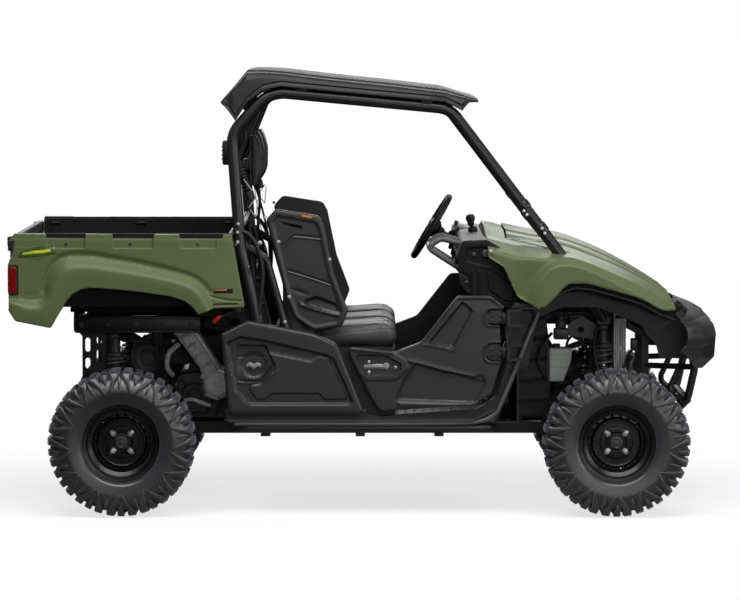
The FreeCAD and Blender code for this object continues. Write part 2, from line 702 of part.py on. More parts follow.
def rear_frame():
    """Upper rails behind the seats, perforated plates, pivot ears and posts."""
    inner, outer = float(S.rear_plate_y), float(S.rear_plate_y + S.rear_plate)
    low, high = float(S.upper_rail_bottom), float(upper_rail_top)
    rear, front = float(S.upper_rail_rear), float(S.upper_rail_front)
    edge = outer + float(S.upper_rail_width)
    rail = Part.makeBox(front - rear, edge - outer, high - low, vector(rear, outer, low))
    plate = side_prism([(-1265, high), (-1265, 790), (-1237, 760), (-1237, 520), (-1134, 520),
                        (-1134, low + 10), (front, low + 10), (front, high)], inner, outer)
    for x, z0, z1, width in ((-1213, 690, 752, 22), (-1213, 616, 664, 22), (-1163, 645, 700, 22),
                             (-1163, 735, 752, 22)):
        slot = plan_slot(x, z0, z1, width, inner - 5, outer + 5)
        plate = plate.cut(slot)
    rail_side = float(S.rail_y + S.rail_width / 2)
    foot = tube([vector(-1178, inner + 12, 530), vector(-1221, rail_side, float(rail_top) - 12)], 16)
    post = tube([vector(-745, outer + 14, low + 20), vector(-745, rail_side + 4,
                                                            float(rail_top) - 12)], 18)
    pivot = vector(S.bed_pivot_x, 0, S.bed_pivot_z)
    ear_in = float(S.bed_beam_y + S.bed_beam_width / 2) + 5
    ear = joined([Part.makeBox(50, 10, pivot.z - low, vector(pivot.x - 25, ear_in, low)),
                  Part.makeCylinder(25, 10, vector(pivot.x, ear_in, pivot.z), vector(0, 1, 0)),
                  Part.makeBox(50, inner - ear_in, high - low - 4, vector(pivot.x - 25, ear_in, low))])
    side = joined([rail, plate, foot, post, ear])
    beam = Part.makeBox(40, 2 * inner, 40, vector(rear, -inner, low))
    front_beam = Part.makeBox(40, 2 * inner, high - low, vector(front - 40, -inner, low))
    rests = [Part.makeBox(40, S.bed_beam_width, S.bed_beam_bottom - S.bed_rest_gap - high,
                          vector(front - 40, y, high))
             for y in (S.bed_beam_y - S.bed_beam_width / 2, -S.bed_beam_y - S.bed_beam_width / 2)]
    frame = joined([side, mirrored(side), beam, front_beam] + rests)
    bore = Part.makeCylinder(S.hinge_pin / 2 + 2 + S.hinge_clearance, 1200,
                             vector(pivot.x, -600, pivot.z), vector(0, 1, 0))
    frame = largest(cleared(frame, [bore, parts_by("main_frame"), parts_by("rear_shocks")]))
    keep(feature("rear_frame_metal", frame), "rear_subframe")
    socket = box("hitch_outside", (hitch_rear, hitch_rear + S.hitch_length),
                 (-S.hitch_tube / 2, S.hitch_tube / 2),
                 (S.hitch_z - S.hitch_tube / 2, S.hitch_z + S.hitch_tube / 2))
    inside = box("hitch_inside", (hitch_rear - 1, hitch_rear + S.hitch_length + 1),
                 (-S.hitch_tube / 2 + S.hitch_wall, S.hitch_tube / 2 - S.hitch_wall),
                 (S.hitch_z - S.hitch_tube / 2 + S.hitch_wall,
                  S.hitch_z + S.hitch_tube / 2 - S.hitch_wall))
    tongue_x = hitch_rear - S.tongue_reach
    under = S.hitch_z - S.hitch_tube / 2
    tongue = box("hitch_tongue", (tongue_x, rail_rear),
                 (-S.tongue_width / 2, S.tongue_width / 2), (under - S.tongue_thickness, under))
    hole = rod("tongue_bore", S.tongue_hole / 2, "z",
               (tongue_x + S.tongue_edge, 0, under - 2 * S.tongue_thickness), 3 * S.tongue_thickness)
    welded = fuse("hitch_welded", [cut("hitch_hollow", socket, inside), tongue])
    keep(cut("hitch_metal", welded, hole), "hitch_receiver")


def plan_slot(x, z0, z1, width, y0, y1):
    """A slot through a side plate with round ends."""
    r = width / 2
    low, high = z0 + r, z1 - r
    ends = [Part.makeCylinder(r, y1 - y0, vector(x, y0, z), vector(0, 1, 0)) for z in {low, high}]
    if high - low < 0.5:
        return ends[0]
    return joined(ends + [Part.makeBox(width, y1 - y0, high - low, vector(x - r, y0, low))])


def front_frame():
    """Uprights, tower beams and upper beams ahead of the cab."""
    inner, outer = float(S.rail_y - S.rail_width / 2), float(S.rail_y + S.rail_width / 2)
    tower_x = float(front_axle - S.shock_offset)
    top = float(S.front_shock_top)
    upright = Part.makeBox(30, outer - inner, top - rail_top, vector(tower_x - 15, inner, rail_top))
    back = Part.makeBox(30, outer - inner, top + 30 - rail_top, vector(668, inner, rail_top))
    nose = Part.makeBox(30, outer - inner, 750 - rail_top, vector(rail_front - 60, inner, rail_top))
    beam = side_prism([(668, top), (tower_x + 40, top), (rail_front - 30, 720),
                       (rail_front - 30, 750), (tower_x + 40, top + 30), (668, top + 30)], inner, outer)
    arm = Part.makeBox(56, S.shock_upper_y + 28 - inner, 30, vector(tower_x - 28, inner, top))
    side = joined([upright, back, nose, beam, arm])
    ties = [Part.makeBox(30, 2 * inner, 30, vector(x, -inner, z))
            for x, z in ((668, top), (rail_front - 60, 720))]
    frame = joined([side, mirrored(side)] + ties)
    plate = Part.makeBox(8, 395 - outer, 170, vector(800, -395, 540))
    stay = Part.makeBox(22, 40, 90, vector(800, -outer - 40, 540))
    strut = Part.makeBox(22, outer - inner, top - rail_top, vector(786, -outer, rail_top))
    motor = Part.makeCylinder(44, 130, vector(945, -outer - 95, top - 42), vector(0, 1, 0))
    saddle = Part.makeBox(40, 30, 60, vector(925, -outer, top - 60))
    frame = joined([frame, plate, stay, strut, motor, saddle])
    clear = [parts_by(n) for n in ("steering_column", "main_frame", "front_shocks")]
    keep(feature("front_frame_metal", largest(cleared(frame, clear))), "front_subframe")
    tank = side_prism([(808, 696, 6), (911, 696, 6), (905, 640, 4), (872, 554, 6), (808, 554, 6)],
                      -390, -300)
    keep(feature("tank_plastic", tank), "coolant_tank")
    core = Part.makeBox(44, 2 * (inner + 160), 270, vector(1100, -(inner + 160), 575))
    sides = [Part.makeBox(52, 34, 290, vector(1096, y, 565)) for y in (-inner - 194, inner + 160)]
    keep(feature("radiator_core", cleared(joined([core] + sides), [frame])), "radiator")
    tubes = []
    for y in (-280, 280):
        tubes.append(tube([vector(1440, y, 690), vector(1458, y, 600), vector(1425, y, 450),
                           vector(rail_front - 20, y * 0.68, 345)], 17, [60, 90]))
        tubes.append(tube([vector(rail_front - 50, y * 0.72, 608), vector(1448, y, 608)], 13))
        tubes.append(tube([vector(1395, y * 0.9, 608), vector(1345, y * 0.9, 500), vector(1415, y,
                                                                                          440)], 13, 40))
    tubes.append(tube([vector(1446, -280, 655), vector(1446, 280, 655)], 17))
    tubes.append(tube([vector(1427, -280, 460), vector(1427, 280, 460)], 17))
    neighbours = [parts_by(n) for n in ("front_subframe", "main_frame", "skid_plate")]
    keep(feature("guard_tubes", cleared(joined(tubes), neighbours)), "bumper_guard")


def powertrain():
    """Engine with its gearbox cover and pulley, and the silencer."""
    block = Part.makeBox(400, 2 * 190, 380, vector(-850, -190, rail_top))
    block = block.makeChamfer(22, block.Edges)
    cover = side_prism([(-856, 768, 20), (-742, 770, 20), (-640, 610, 20), (-604, 520, 30), (-640, 452,
                                                                                             25),
                        (-700, 470, 20), (-735, 600, 20)], -262, -180)
    pulley = Part.makeCylinder(50, 26, vector(-654, -288, 532), vector(0, 1, 0))
    cap = Part.makeCylinder(26, 16, vector(-654, -303, 532), vector(0, 1, 0))
    keep(feature("engine_block", joined([block, cover, pulley, cap])), "engine")
    can = Part.makeCylinder(72, 460, vector(-965, -230, 640), vector(0, 1, 0))
    can = can.makeChamfer(12, [e for e in can.Edges if e.Closed])
    pipe = tube([vector(-965, 120, 640), vector(-900, 120, 640), vector(-845, 120, 600)], 22, 40)
    tail = tube([vector(-965, 200, 640), vector(-1060, 200, 700), vector(-1120, 200, 700)], 20, 40)
    exhaust = joined([can, pipe, tail])
    keep(feature("silencer", cleared(exhaust, [parts_by("engine")])), "exhaust")


def cage_path():
    """Centre line of the right cage tube from the frame to the front tower."""
    y = -float(S.cage_y)
    tower_x = float(front_axle - S.shock_offset)
    points = [(-430, y, float(rail_top) + 24), (-450, y, 790), (-537, y, 1160), (-573, y, 1650), (-410,
                                                                                                  y,
                                                                                                  1830),
              (365, y, 1757), (835, y, 1140), (905, y, 1035),
              (tower_x, -float(S.shock_upper_y) - 6, float(S.front_shock_top) + 20)]
    return [vector(*p) for p in points], [200, 400, 120, 150, 110, 200, 60]


def cage():
    """Side hoops, cross tubes, seat-side posts and the roof on top of them."""
    points, bends = cage_path()
    radius = float(S.cage_tube) / 2
    hoop = tube(points, radius, bends)
    blockers = [parts_by("main_frame"), parts_by("side_bars"), parts_by("front_subframe")]
    hoop = cleared(hoop, blockers)
    keep(feature("hoops", Part.makeCompound([hoop, mirrored(hoop)])), "cage_sides")
    y = float(S.cage_y)
    tubes = []
    for x, z, r in ((-416, 1822, 22), (352, 1757, 22), (-560, 1500, 20), (-548, 1235, 20)):
        tubes.append(tube([vector(x, -y, z), vector(x, y, z)], r))
    tubes.append(tube([vector(-560, -330, 1500), vector(-430, -330, 1822)], 14))
    tubes.append(tube([vector(-560, 330, 1500), vector(-430, 330, 1822)], 14))
    for side in (-1, 1):
        low, high = vector(-318, side * 622, S.deck_top), vector(-425, side * 622, 1110)
        tubes.append(tube([low, high, vector(-548, side * 622, 1180)], 17, 60))
    frame = joined(tubes)
    keep(feature("cross_tubes", cleared(frame, [hoop, mirrored(hoop)])), "cage_cross_tubes")
    outer, inner = [], []
    wide = float(S.roof_half_width)
    for x, edge, shoulder, top in (
        (-617, 1785, 1791, 1796), (-556, 1706, 1848, 1864), (-506, 1784, 1908, 1925),
        (-440, 1836, 1910, 1925), (-362, 1853, 1906, 1920), (-133, 1831, 1878, 1893),
        (114, 1808, 1853, 1868), (344, 1787, 1826, 1841), (418, 1749, 1806, 1819),
        (445, 1788, 1801, 1810), (488, 1789, 1795, 1800),
    ):
        narrow = wide - (26 if x < -600 or x > 480 else 0)
        half = [(narrow, edge), (narrow - 14, shoulder), (narrow - 110, top - 5), (250, top)]
        outer.append((x, half + [(-a, b) for a, b in reversed(half)]))
        wall = float(S.roof_wall)
        low = [(narrow - wall, edge - 1), (narrow - 14 - wall, shoulder - wall),
               (narrow - 112, top - 5 - wall), (250, top - wall)]
        inner.append((x, low + [(-a, b) for a, b in reversed(low)]))
    sections = [(x, up + list(reversed(down))) for (x, up), (_, down) in zip(outer, inner)]
    skin = section_loft(sections)
    ribs = []
    for x, height in ((-300, 1889), (240, 1832)):
        for side in (-1, 1):
            ribs.append(Part.makeBox(50, 46, 100, vector(x, side * y - 23, height - 100)))
    roof = cleared(joined([skin] + ribs), [hoop, mirrored(hoop)])
    keep(feature("roof_plastic", largest(roof)), "roof")


def cab():
    """Floor, firewall, sills, seat box and the panels round the doors."""
    inner = float(S.body_half_width) - float(S.door_thickness) + 10
    floor_z = float(side_bar_top)
    floor = box("floor_plate", (-383, 655), (-inner, inner), (floor_z, floor_z + S.floor_thickness))
    wall = box("firewall", (655, 655 + S.floor_thickness), (-inner, inner), (floor_z, 905))
    doc.recompute()
    toe = side_prism([(560, floor_z + 8), (568, floor_z + 8), (656, 620), (656, 634)], -inner, inner)
    tub = joined([floor.Shape, wall.Shape, toe])
    tub = cleared(tub, [parts_by("steering_column"), parts_by("front_subframe")])
    keep(feature("floor_plastic", largest(tub)), "floor_tub")
    deck = float(S.deck_top)
    wall = float(S.deck_wall)
    outside = Part.makeBox(525, 2 * inner, deck - floor_z - 8, vector(-395, -inner, floor_z + 8))
    hollow = Part.makeBox(525 - 2 * wall, 2 * (inner - wall), deck - floor_z - 8,
                          vector(-395 + wall, -inner + wall, floor_z + 8 - wall))
    seat_box = outside.cut(hollow)
    rim = side_prism([(-395, deck), (-395, deck + 60), (-383, deck + 60), (-383, deck)], -inner, inner)
    clear = [parts_by("cage_sides"), parts_by("cage_cross_tubes"), parts_by("engine")]
    keep(feature("seat_box_plastic", largest(cleared(joined([seat_box, rim]), clear))), "seat_box")
    jamb_y = float(S.body_half_width)
    jamb = side_prism([
        (-600, floor_z, 10), (-600, 465), (6, 465), (14, 440, 10), (70, 438, 10), (484, 467, 40), (566,
                                                                                                   522,
                                                                                                   30),
        (607, 668, 30), (599, 826, 20), (629, 907, 10), (640, 925), (738, 925), (746, 884, 20),
        (569, 456, 60), (462, floor_z, 60),
    ], inner, jamb_y)
    keep(feature("jambs", Part.makeCompound([jamb, mirrored(jamb)])), "door_jambs")


def doors():
    """Half doors on vertical pins in front, with their straps."""
    inner = float(S.body_half_width) - 24
    outer = inner + float(S.door_thickness)
    panel = side_prism([
        (-84, 736, 20), (129, 714, 60), (243, 757, 60), (399, 957, 30), (539, 957, 30), (600, 912, 15),
        (580, 828, 15),
        (588, 672, 30), (546, 532, 40), (470, 487, 50), (65, 458, 30), (30, 510, 20), (0, 567, 20),
    ], inner, outer)
    hollow = side_prism([(150, 560, 20), (330, 600, 20), (500, 560, 20), (440, 505, 20), (110, 490, 20)],
                        outer - 8, outer + 10)
    window = side_prism([(300, 770, 15), (420, 900, 15), (470, 890, 15), (400, 750, 15)], outer - 14,
                        outer + 10)
    latch = side_prism([(-30, 690, 20), (40, 718, 20), (150, 690, 30), (170, 640, 20), (110, 596, 20),
                        (0, 600, 20)],
                       outer - 12, outer + 10)
    panel = panel.cut(hollow).cut(window).cut(latch)
    handle = Part.makeBox(96, 8, 18, vector(0, outer - 12, 640))
    hinge_x, hinge_y = float(S.hinge_x), outer + 14
    pin = float(S.hinge_pin) / 2
    straps = []
    frames = []
    for z in (715, 861):
        straps.append(side_prism([(520, z - 24, 20), (520, z + 24, 20), (hinge_x - 14, z + 24),
                                  (hinge_x - 14, z - 24)],
                                 outer, outer + 8))
        straps.append(Part.makeBox(30, 10, 48, vector(hinge_x - 30, outer + 2, z - 24)))
        straps.append(Part.makeCylinder(11, 48, vector(hinge_x, hinge_y, z - 24)))
        for low in (z - 38, z + 24 + 0.4):
            frames.append(Part.makeCylinder(11, 13.6, vector(hinge_x, hinge_y, low)))
            frames.append(Part.makeBox(46, 8, 13.6, vector(hinge_x, hinge_y - 6, low)))
            frames.append(side_prism([(hinge_x + 26, low), (hinge_x + 60, low), (hinge_x + 60,
                                                                                 low + 13.6),
                                      (hinge_x + 26, low + 13.6)], float(S.body_half_width), hinge_y))
        frames.append(Part.makeCylinder(pin, 76.4, vector(hinge_x, hinge_y, z - 38)))
    door = joined([panel, handle] + straps)
    for z in (715, 861):
        door = door.cut(Part.makeCylinder(pin + float(S.hinge_clearance), 60, vector(hinge_x, hinge_y,
                                                                                     z - 30)))
    keep(feature("door_left_solid", door), "door_left")
    keep(feature("door_right_solid", mirrored(door)), "door_right")
    bracket = joined(frames)
    keep(feature("brackets", Part.makeCompound([bracket, mirrored(bracket)])), "door_hinges")
    base = float(S.body_half_width) - float(S.door_thickness) + 10
    cover = side_prism([
        (-618, 793, 10), (-504, 849, 25), (-219, 793, 25), (-128, 752, 20), (-112, 734, 15), (-8, 469,
                                                                                              20),
                                                                                              (-591,
                                                                                               469, 25),
        (-618, 771, 10),
    ], base, outer)
    recess = side_prism([(-575, 740, 20), (-505, 780, 25), (-190, 720, 25), (-90, 520, 25), (-540, 505,
                                                                                             25)],
                        outer - 10, outer + 10)
    plug = side_prism([(-560, 600, 20), (-560, 715, 20), (-430, 715, 20), (-400, 620, 20), (-450, 575,
                                                                                            20)],
                      outer - 34, outer + 10)
    cover = cover.cut(recess).cut(plug)
    pull = Part.makeBox(60, 10, 18, vector(-515, outer - 34, 640))
    keep(feature("covers", Part.makeCompound([joined([cover, pull]), mirrored(joined([cover, pull]))])),
         "side_covers")


def seats():
    """Three cushions and backs, the shoulder guards beside them, head pads and belts."""
    deck = float(S.deck_top)
    places, cushions, backs = [], [], []
    half = float(S.centre_seat_width) / 2
    places.append(("centre", -half, half))
    left = half + float(S.seat_gap)
    places.append(("left", left, left + float(S.seat_width)))
    places.append(("right", -left - float(S.seat_width), -left))
    for name, low, high in places:
        cushion = side_prism([(-210, deck, 8), (-210, 800, 20), (-120, 812, 40), (90, 826, 60), (158,
                                                                                                 815, 30),
                              (160, 745, 20), (140, deck, 8)], low, high)
        cushions.append(cushion)
        back = side_prism([(-340, deck, 4), (-228, deck, 8), (-222, 830, 20), (-180, 880, 40), (-250,
                                                                                                1205, 30),
                           (-285, 1235, 15), (-330, 1225, 15), (-355, 1120, 15), (-352, 880, 30)], low,
                           high)
        backs.append(back)
    keep(feature("cushions", Part.makeCompound(cushions)), "seat_cushions")
    keep(feature("backs", Part.makeCompound(backs)), "seat_backs")
    y = 605.0
    guard = side_prism([
        (-427, 1278, 25), (-385, 1325, 25), (-199, 1296, 30), (-177, 1257, 20), (-134, 1049, 60), (-72,
                                                                                                   885,
                                                                                                   30),
        (-100, 815, 25), (-221, 797, 40), (-306, 855, 40), (-342, 949, 60), (-385, 1128, 40),
    ], y, y + float(S.restraint_thickness))
    lugs = [Part.makeBox(70, 30, 26, vector(x, y + 6, z)) for x, z in ((-400, 975), (-425, 1085))]
    guard = joined([guard] + lugs)
    tubes = [parts_by("cage_cross_tubes"), parts_by("cage_sides"), parts_by("side_covers")]
    guard = largest(cleared(guard, tubes))
    keep(feature("guards", Part.makeCompound([guard, mirrored(guard)])), "shoulder_guards")
    pads = []
    for name, low, high in places:
        middle = (low + high) / 2
        pad = side_prism([(-494, 1410, 12), (-472, 1408, 12), (-450, 1470, 20), (-449, 1560, 30),
                          (-474, 1652, 10),
                          (-498, 1646, 10)], middle - 125, middle + 125)
        stay = Part.makeBox(60, 40, 20, vector(-545, middle - 20, 1490))
        pads.append(cleared(joined([pad, stay]), [parts_by("cage_cross_tubes")]))
    keep(feature("pads", Part.makeCompound([largest(p) for p in pads])), "head_pads")
    belts = []
    for side in (-1, 1):
        reel = Part.makeBox(38, 44, 90, vector(-613, side * 560 - 22, 1520))
        strap = side_prism([(-540, 1545), (-536, 1546), (-395.3, 770), (-399.3, 769)],
                           side * 560 - 24, side * 560 + 24)
        hook = Part.makeBox(80, 30, 8, vector(-613, side * 560 - 15, 1540))
        belts.append(joined([reel, strap, hook]))
    clear = [parts_by(n) for n in ("cage_cross_tubes", "head_pads", "cage_sides")]
    belts = [largest(cleared(belt, clear)) for belt in belts]
    keep(feature("belts", Part.makeCompound(belts)), "seat_belts")


def dashboard():
    """Instrument panel with its levers, and the passenger's grab bar."""
    panel = side_prism([(395, 1120, 20), (420, 1188, 20), (526, 1192), (600, 1150), (655, 1140), (655,
                                                                                                  905),
                        (520, 905, 20), (500, 938, 20), (440, 1000, 30)], -640, 640)
    clear = [parts_by(n) for n in ("steering_column", "cage_sides", "floor_tub", "front_subframe")]
    panel = largest(cleared(panel, clear))
    lever = tube([vector(486, 40, 1180), vector(478, 40, 1230)], 9)
    knob = Part.makeSphere(16, vector(476, 40, 1228))
    dial = Part.makeCylinder(26, 30, vector(415, 200, 1165), vector(-0.5, 0, 0.86))
    keep(feature("panel", joined([panel, lever, knob, dial])), "dash")
    bars = []
    for y in (-470, -210):
        bars.append(tube([vector(560, y, 1125), vector(399, y, 1170), vector(333, y, 1188), vector(270,
                                                                                                   y,
                                                                                                   1150),
                          vector(399, y, 1066), vector(500, y, 1040)], 12, [60, 40, 18, 60]))
    bars.append(tube([vector(282, -470, 1148), vector(282, -210, 1148)], 12))
    keep(feature("bars", cleared(joined(bars), [parts_by("dash")])), "grab_bar")


FENDER = [
    (530, 1205, 560, 1195, 700, 1150, 712, 1120), (600, 1190, 560, 1178, 702, 1135, 716, 1075),
    (655, 1180, 560, 1165, 705, 1120, 720, 950), (700, 1175, 560, 1158, 712, 1108, 748, 925),
    (746, 1170, 562, 1150, 722, 1098, 768, 900), (800, 1162, 565, 1142, 730, 1090, 774, 938),
    (860, 1150, 568, 1132, 733, 1085, 775, 1000), (900, 1138, 570, 1120, 735, 1078, 775, 1012),
    (970, 1115, 572, 1100, 735, 1062, 775, 1006), (1090, 1072, 572, 1058, 730, 1025, 775, 973),
    (1185, 1025, 568, 1012, 715, 985, 762, 943), (1268, 975, 560, 965, 690, 940, 735, 897),
    (1335, 932, 545, 925, 655, 910, 690, 888),
]


def front_body():
    """Wings with the cowl, hood, liners, nose and lamps."""
    wall = float(S.panel_wall)
    edge = float(S.hood_half_width)
    sections = []
    for x, z0, y1, z1, y2, z2, y3, z3 in FENDER:
        outer = [(edge, z0), (y1, z1), (y2, z2), (y3, z3)]
        inner = [(y3 - wall, z3), (y2 - wall, z2 - wall), (y1, z1 - wall), (edge, z0 - wall)]
        sections.append((x, outer + inner))
    wing = section_loft(sections)
    cowl = section_loft([
        (530, [(-edge, 1205), (-200, 1232), (200, 1232), (edge, 1205), (edge, 1197), (200, 1224),
               (-200, 1224), (-edge, 1197)]),
        (614, [(-edge, 1187), (-200, 1212), (200, 1212), (edge, 1187), (edge, 1179), (200, 1204),
               (-200, 1204), (-edge, 1179)]),
    ])
    hole = tube(cage_path()[0][5:8], float(S.cage_tube) / 2 + 1, 200)
    side = wing.cut(mirrored(hole))
    body = joined([side, mirrored(side), cowl])
    tie = Part.makeBox(20, 2 * edge, 14, vector(640, -edge, 1120))
    legs = [Part.makeBox(20, 60, 60, vector(640, y, 1112)) for y in (edge, -edge - 60)]
    body = joined([body, tie] + legs)
    clear = [parts_by(n) for n in ("dash", "cage_sides", "front_subframe", "cage_cross_tubes")]
    keep(feature("wings", largest(cleared(body, clear))), "front_fenders")

    hood_edge = edge - float(S.hood_gap)
    rows = [(621, 1216, 1186), (740, 1192, 1172), (855, 1180, 1155), (960, 1146, 1121), (1066, 1101,
                                                                                         1085),
            (1155, 1055, 1041), (1250, 1000, 985), (1338, 944, 930)]
    sections = []
    for x, crown, side_z in rows:
        half = [(hood_edge, side_z), (hood_edge - 70, side_z + (crown - side_z) * 0.55), (200, crown)]
        top = half + [(-a, b) for a, b in reversed(half)]
        sections.append((x, top + [(a, b - wall) for a, b in reversed(top)]))
    hood = section_loft(sections)
    pivot_x, pivot_z = float(S.hood_pivot_x), float(S.hood_pivot_z)
    pin = float(S.hinge_pin) / 2
    arm_in, arm_out = 276, 300
    arm = joined([
        side_prism([(1290, 967), (1326, 944), (pivot_x + 8, pivot_z), (pivot_x - 8, pivot_z - 8),
                    (1286, 930)],
                   arm_in, arm_out),
        Part.makeCylinder(11, arm_out - arm_in, vector(pivot_x, arm_in, pivot_z), vector(0, 1, 0)),
    ])
    hood = largest(joined([hood, arm, mirrored(arm)]))
    bore = Part.makeCylinder(pin + float(S.hinge_clearance), 2 * arm_out + 40,
                             vector(pivot_x, -arm_out - 20, pivot_z), vector(0, 1, 0))
    hood = hood.cut(bore)
    keep(feature("hood_plastic", hood), "hood")

    nose_sections = [
        (0, (1372, 906), (1452, 868), (1528, 812), (1549, 752), (1535, 640), (1480, 602)),
        (350, (1371, 895), (1446, 852), (1518, 799), (1527, 749), (1515, 633), (1456, 600)),
        (560, (1352, 885), (1405, 850), (1455, 800), (1468, 745), (1452, 660), (1420, 640)),
        (690, (1335, 870), (1360, 845), (1388, 800), (1392, 760), (1385, 715), (1372, 705)),
    ]
    wires = []
    for y, *outline in [(-y, *rest) for y, *rest in reversed(nose_sections[1:])] + nose_sections:
        back = [(x - 12, z - (4 if i < 3 else -2)) for i, (x, z) in enumerate(outline)]
        corners = [vector(x, y, z) for x, z in outline + list(reversed(back))]
        wires.append(Part.makePolygon(corners + corners[:1]))
    nose = Part.makeLoft(wires, True, True)
    gusset = side_prism([(1235, 722), (1235, 748), (1300, 765), (pivot_x - 12, pivot_z - 12),
                         (pivot_x - 12, pivot_z + 8), (pivot_x + 14, pivot_z + 8), (1440, 852), (1505,
                                                                                                 790),
                         (1505, 740), (1440, 700)], arm_out + 4, arm_out + 24)
    link = Part.makeBox(25, arm_out + 24 - S.rail_y - S.rail_width / 2, 26,
                        vector(1235, S.rail_y + S.rail_width / 2, 722))
    hinge = Part.makeCylinder(pin, 54, vector(pivot_x, arm_out + 24 - 54, pivot_z), vector(0, 1, 0))
    stays = [gusset, link, hinge]
    stays += [mirrored(stay) for stay in stays]
    trim = joined([nose] + stays)
    clear = [parts_by(n) for n in ("front_subframe", "bumper_guard", "front_fenders")]
    keep(feature("nose_plastic", largest(cleared(trim, clear))), "front_fascia")
    lamp = side_prism([(1337, 925, 4), (1352, 930, 6), (1394, 893, 6), (1384, 868), (1337, 872)], 450,
                      640)
    lamp = largest(cleared(lamp, [parts_by("front_fascia"), parts_by("front_fenders")]))
    keep(feature("lamps", Part.makeCompound([lamp, mirrored(lamp)])), "headlamps")
    roof = side_prism([(664, 900), (760, 905), (850, 975), (900, 990), (970, 984), (1090, 951), (1185,
                                                                                                 921),
                                                                                                 (1262,
                                                                                                  878),
                       (1330, 852), (1330, 858), (1262, 884), (1185, 927), (1090, 957), (970, 990),
                       (900, 996),
                       (850, 981), (756, 911), (664, 906)], 690, 764)
    skirt = side_prism([(664, 640), (700, 640), (740, 860), (850, 905), (1000, 905), (1262, 800),
                        (1330, 852),
                        (1262, 884), (1185, 927), (1090, 957), (970, 990), (900, 996), (850, 981),
                        (756, 911), (664, 906)],
                       684, 690)
    liner = joined([roof, skirt])
    clear = [parts_by(n) for n in ("front_fenders", "floor_tub", "door_jambs", "cage_sides")]
    liner = largest(cleared(liner, clear))
    keep(feature("liners", Part.makeCompound([liner, mirrored(liner)])), "wheel_liners")


BED_SIDE = [
    (-1508, 1200), (-567, 1194), (-517, 914), (-520, 907), (-643, 903), (-714, 878), (-735, 907),
    (-771, 936),
    (-835, 957), (-955, 975), (-1098, 989), (-1176, 994), (-1219, 985), (-1254, 964), (-1283, 928),
    (-1319, 871),
    (-1347, 821), (-1497, 850), (-1528, 899), (-1528, 942), (-1531, 1092), (-1510, 1135),
]
FLARE = [
    ((-1526, 946), (-1526, 903)), ((-1495, 946), (-1495, 852)), ((-1389, 948), (-1350, 824)), ((-1365,
                                                                                                1010),
                                                                                                (-1320,
                                                                                                 871)),
    ((-1346, 1064), (-1284, 928)), ((-1310, 1106), (-1255, 964)), ((-1253, 1124), (-1220, 985)),
    ((-1161, 1121), (-1177, 994)), ((-1060, 1104), (-1098, 989)), ((-955, 1085), (-955, 975)),
    ((-778, 1042), (-835, 957)), ((-707, 1006), (-771, 936)), ((-664, 950), (-735, 907)), ((-646, 908),
                                                                                           (-714, 878)),
]


# Radius of the ears that carry the tailgate's pin
GATE_EAR = 12


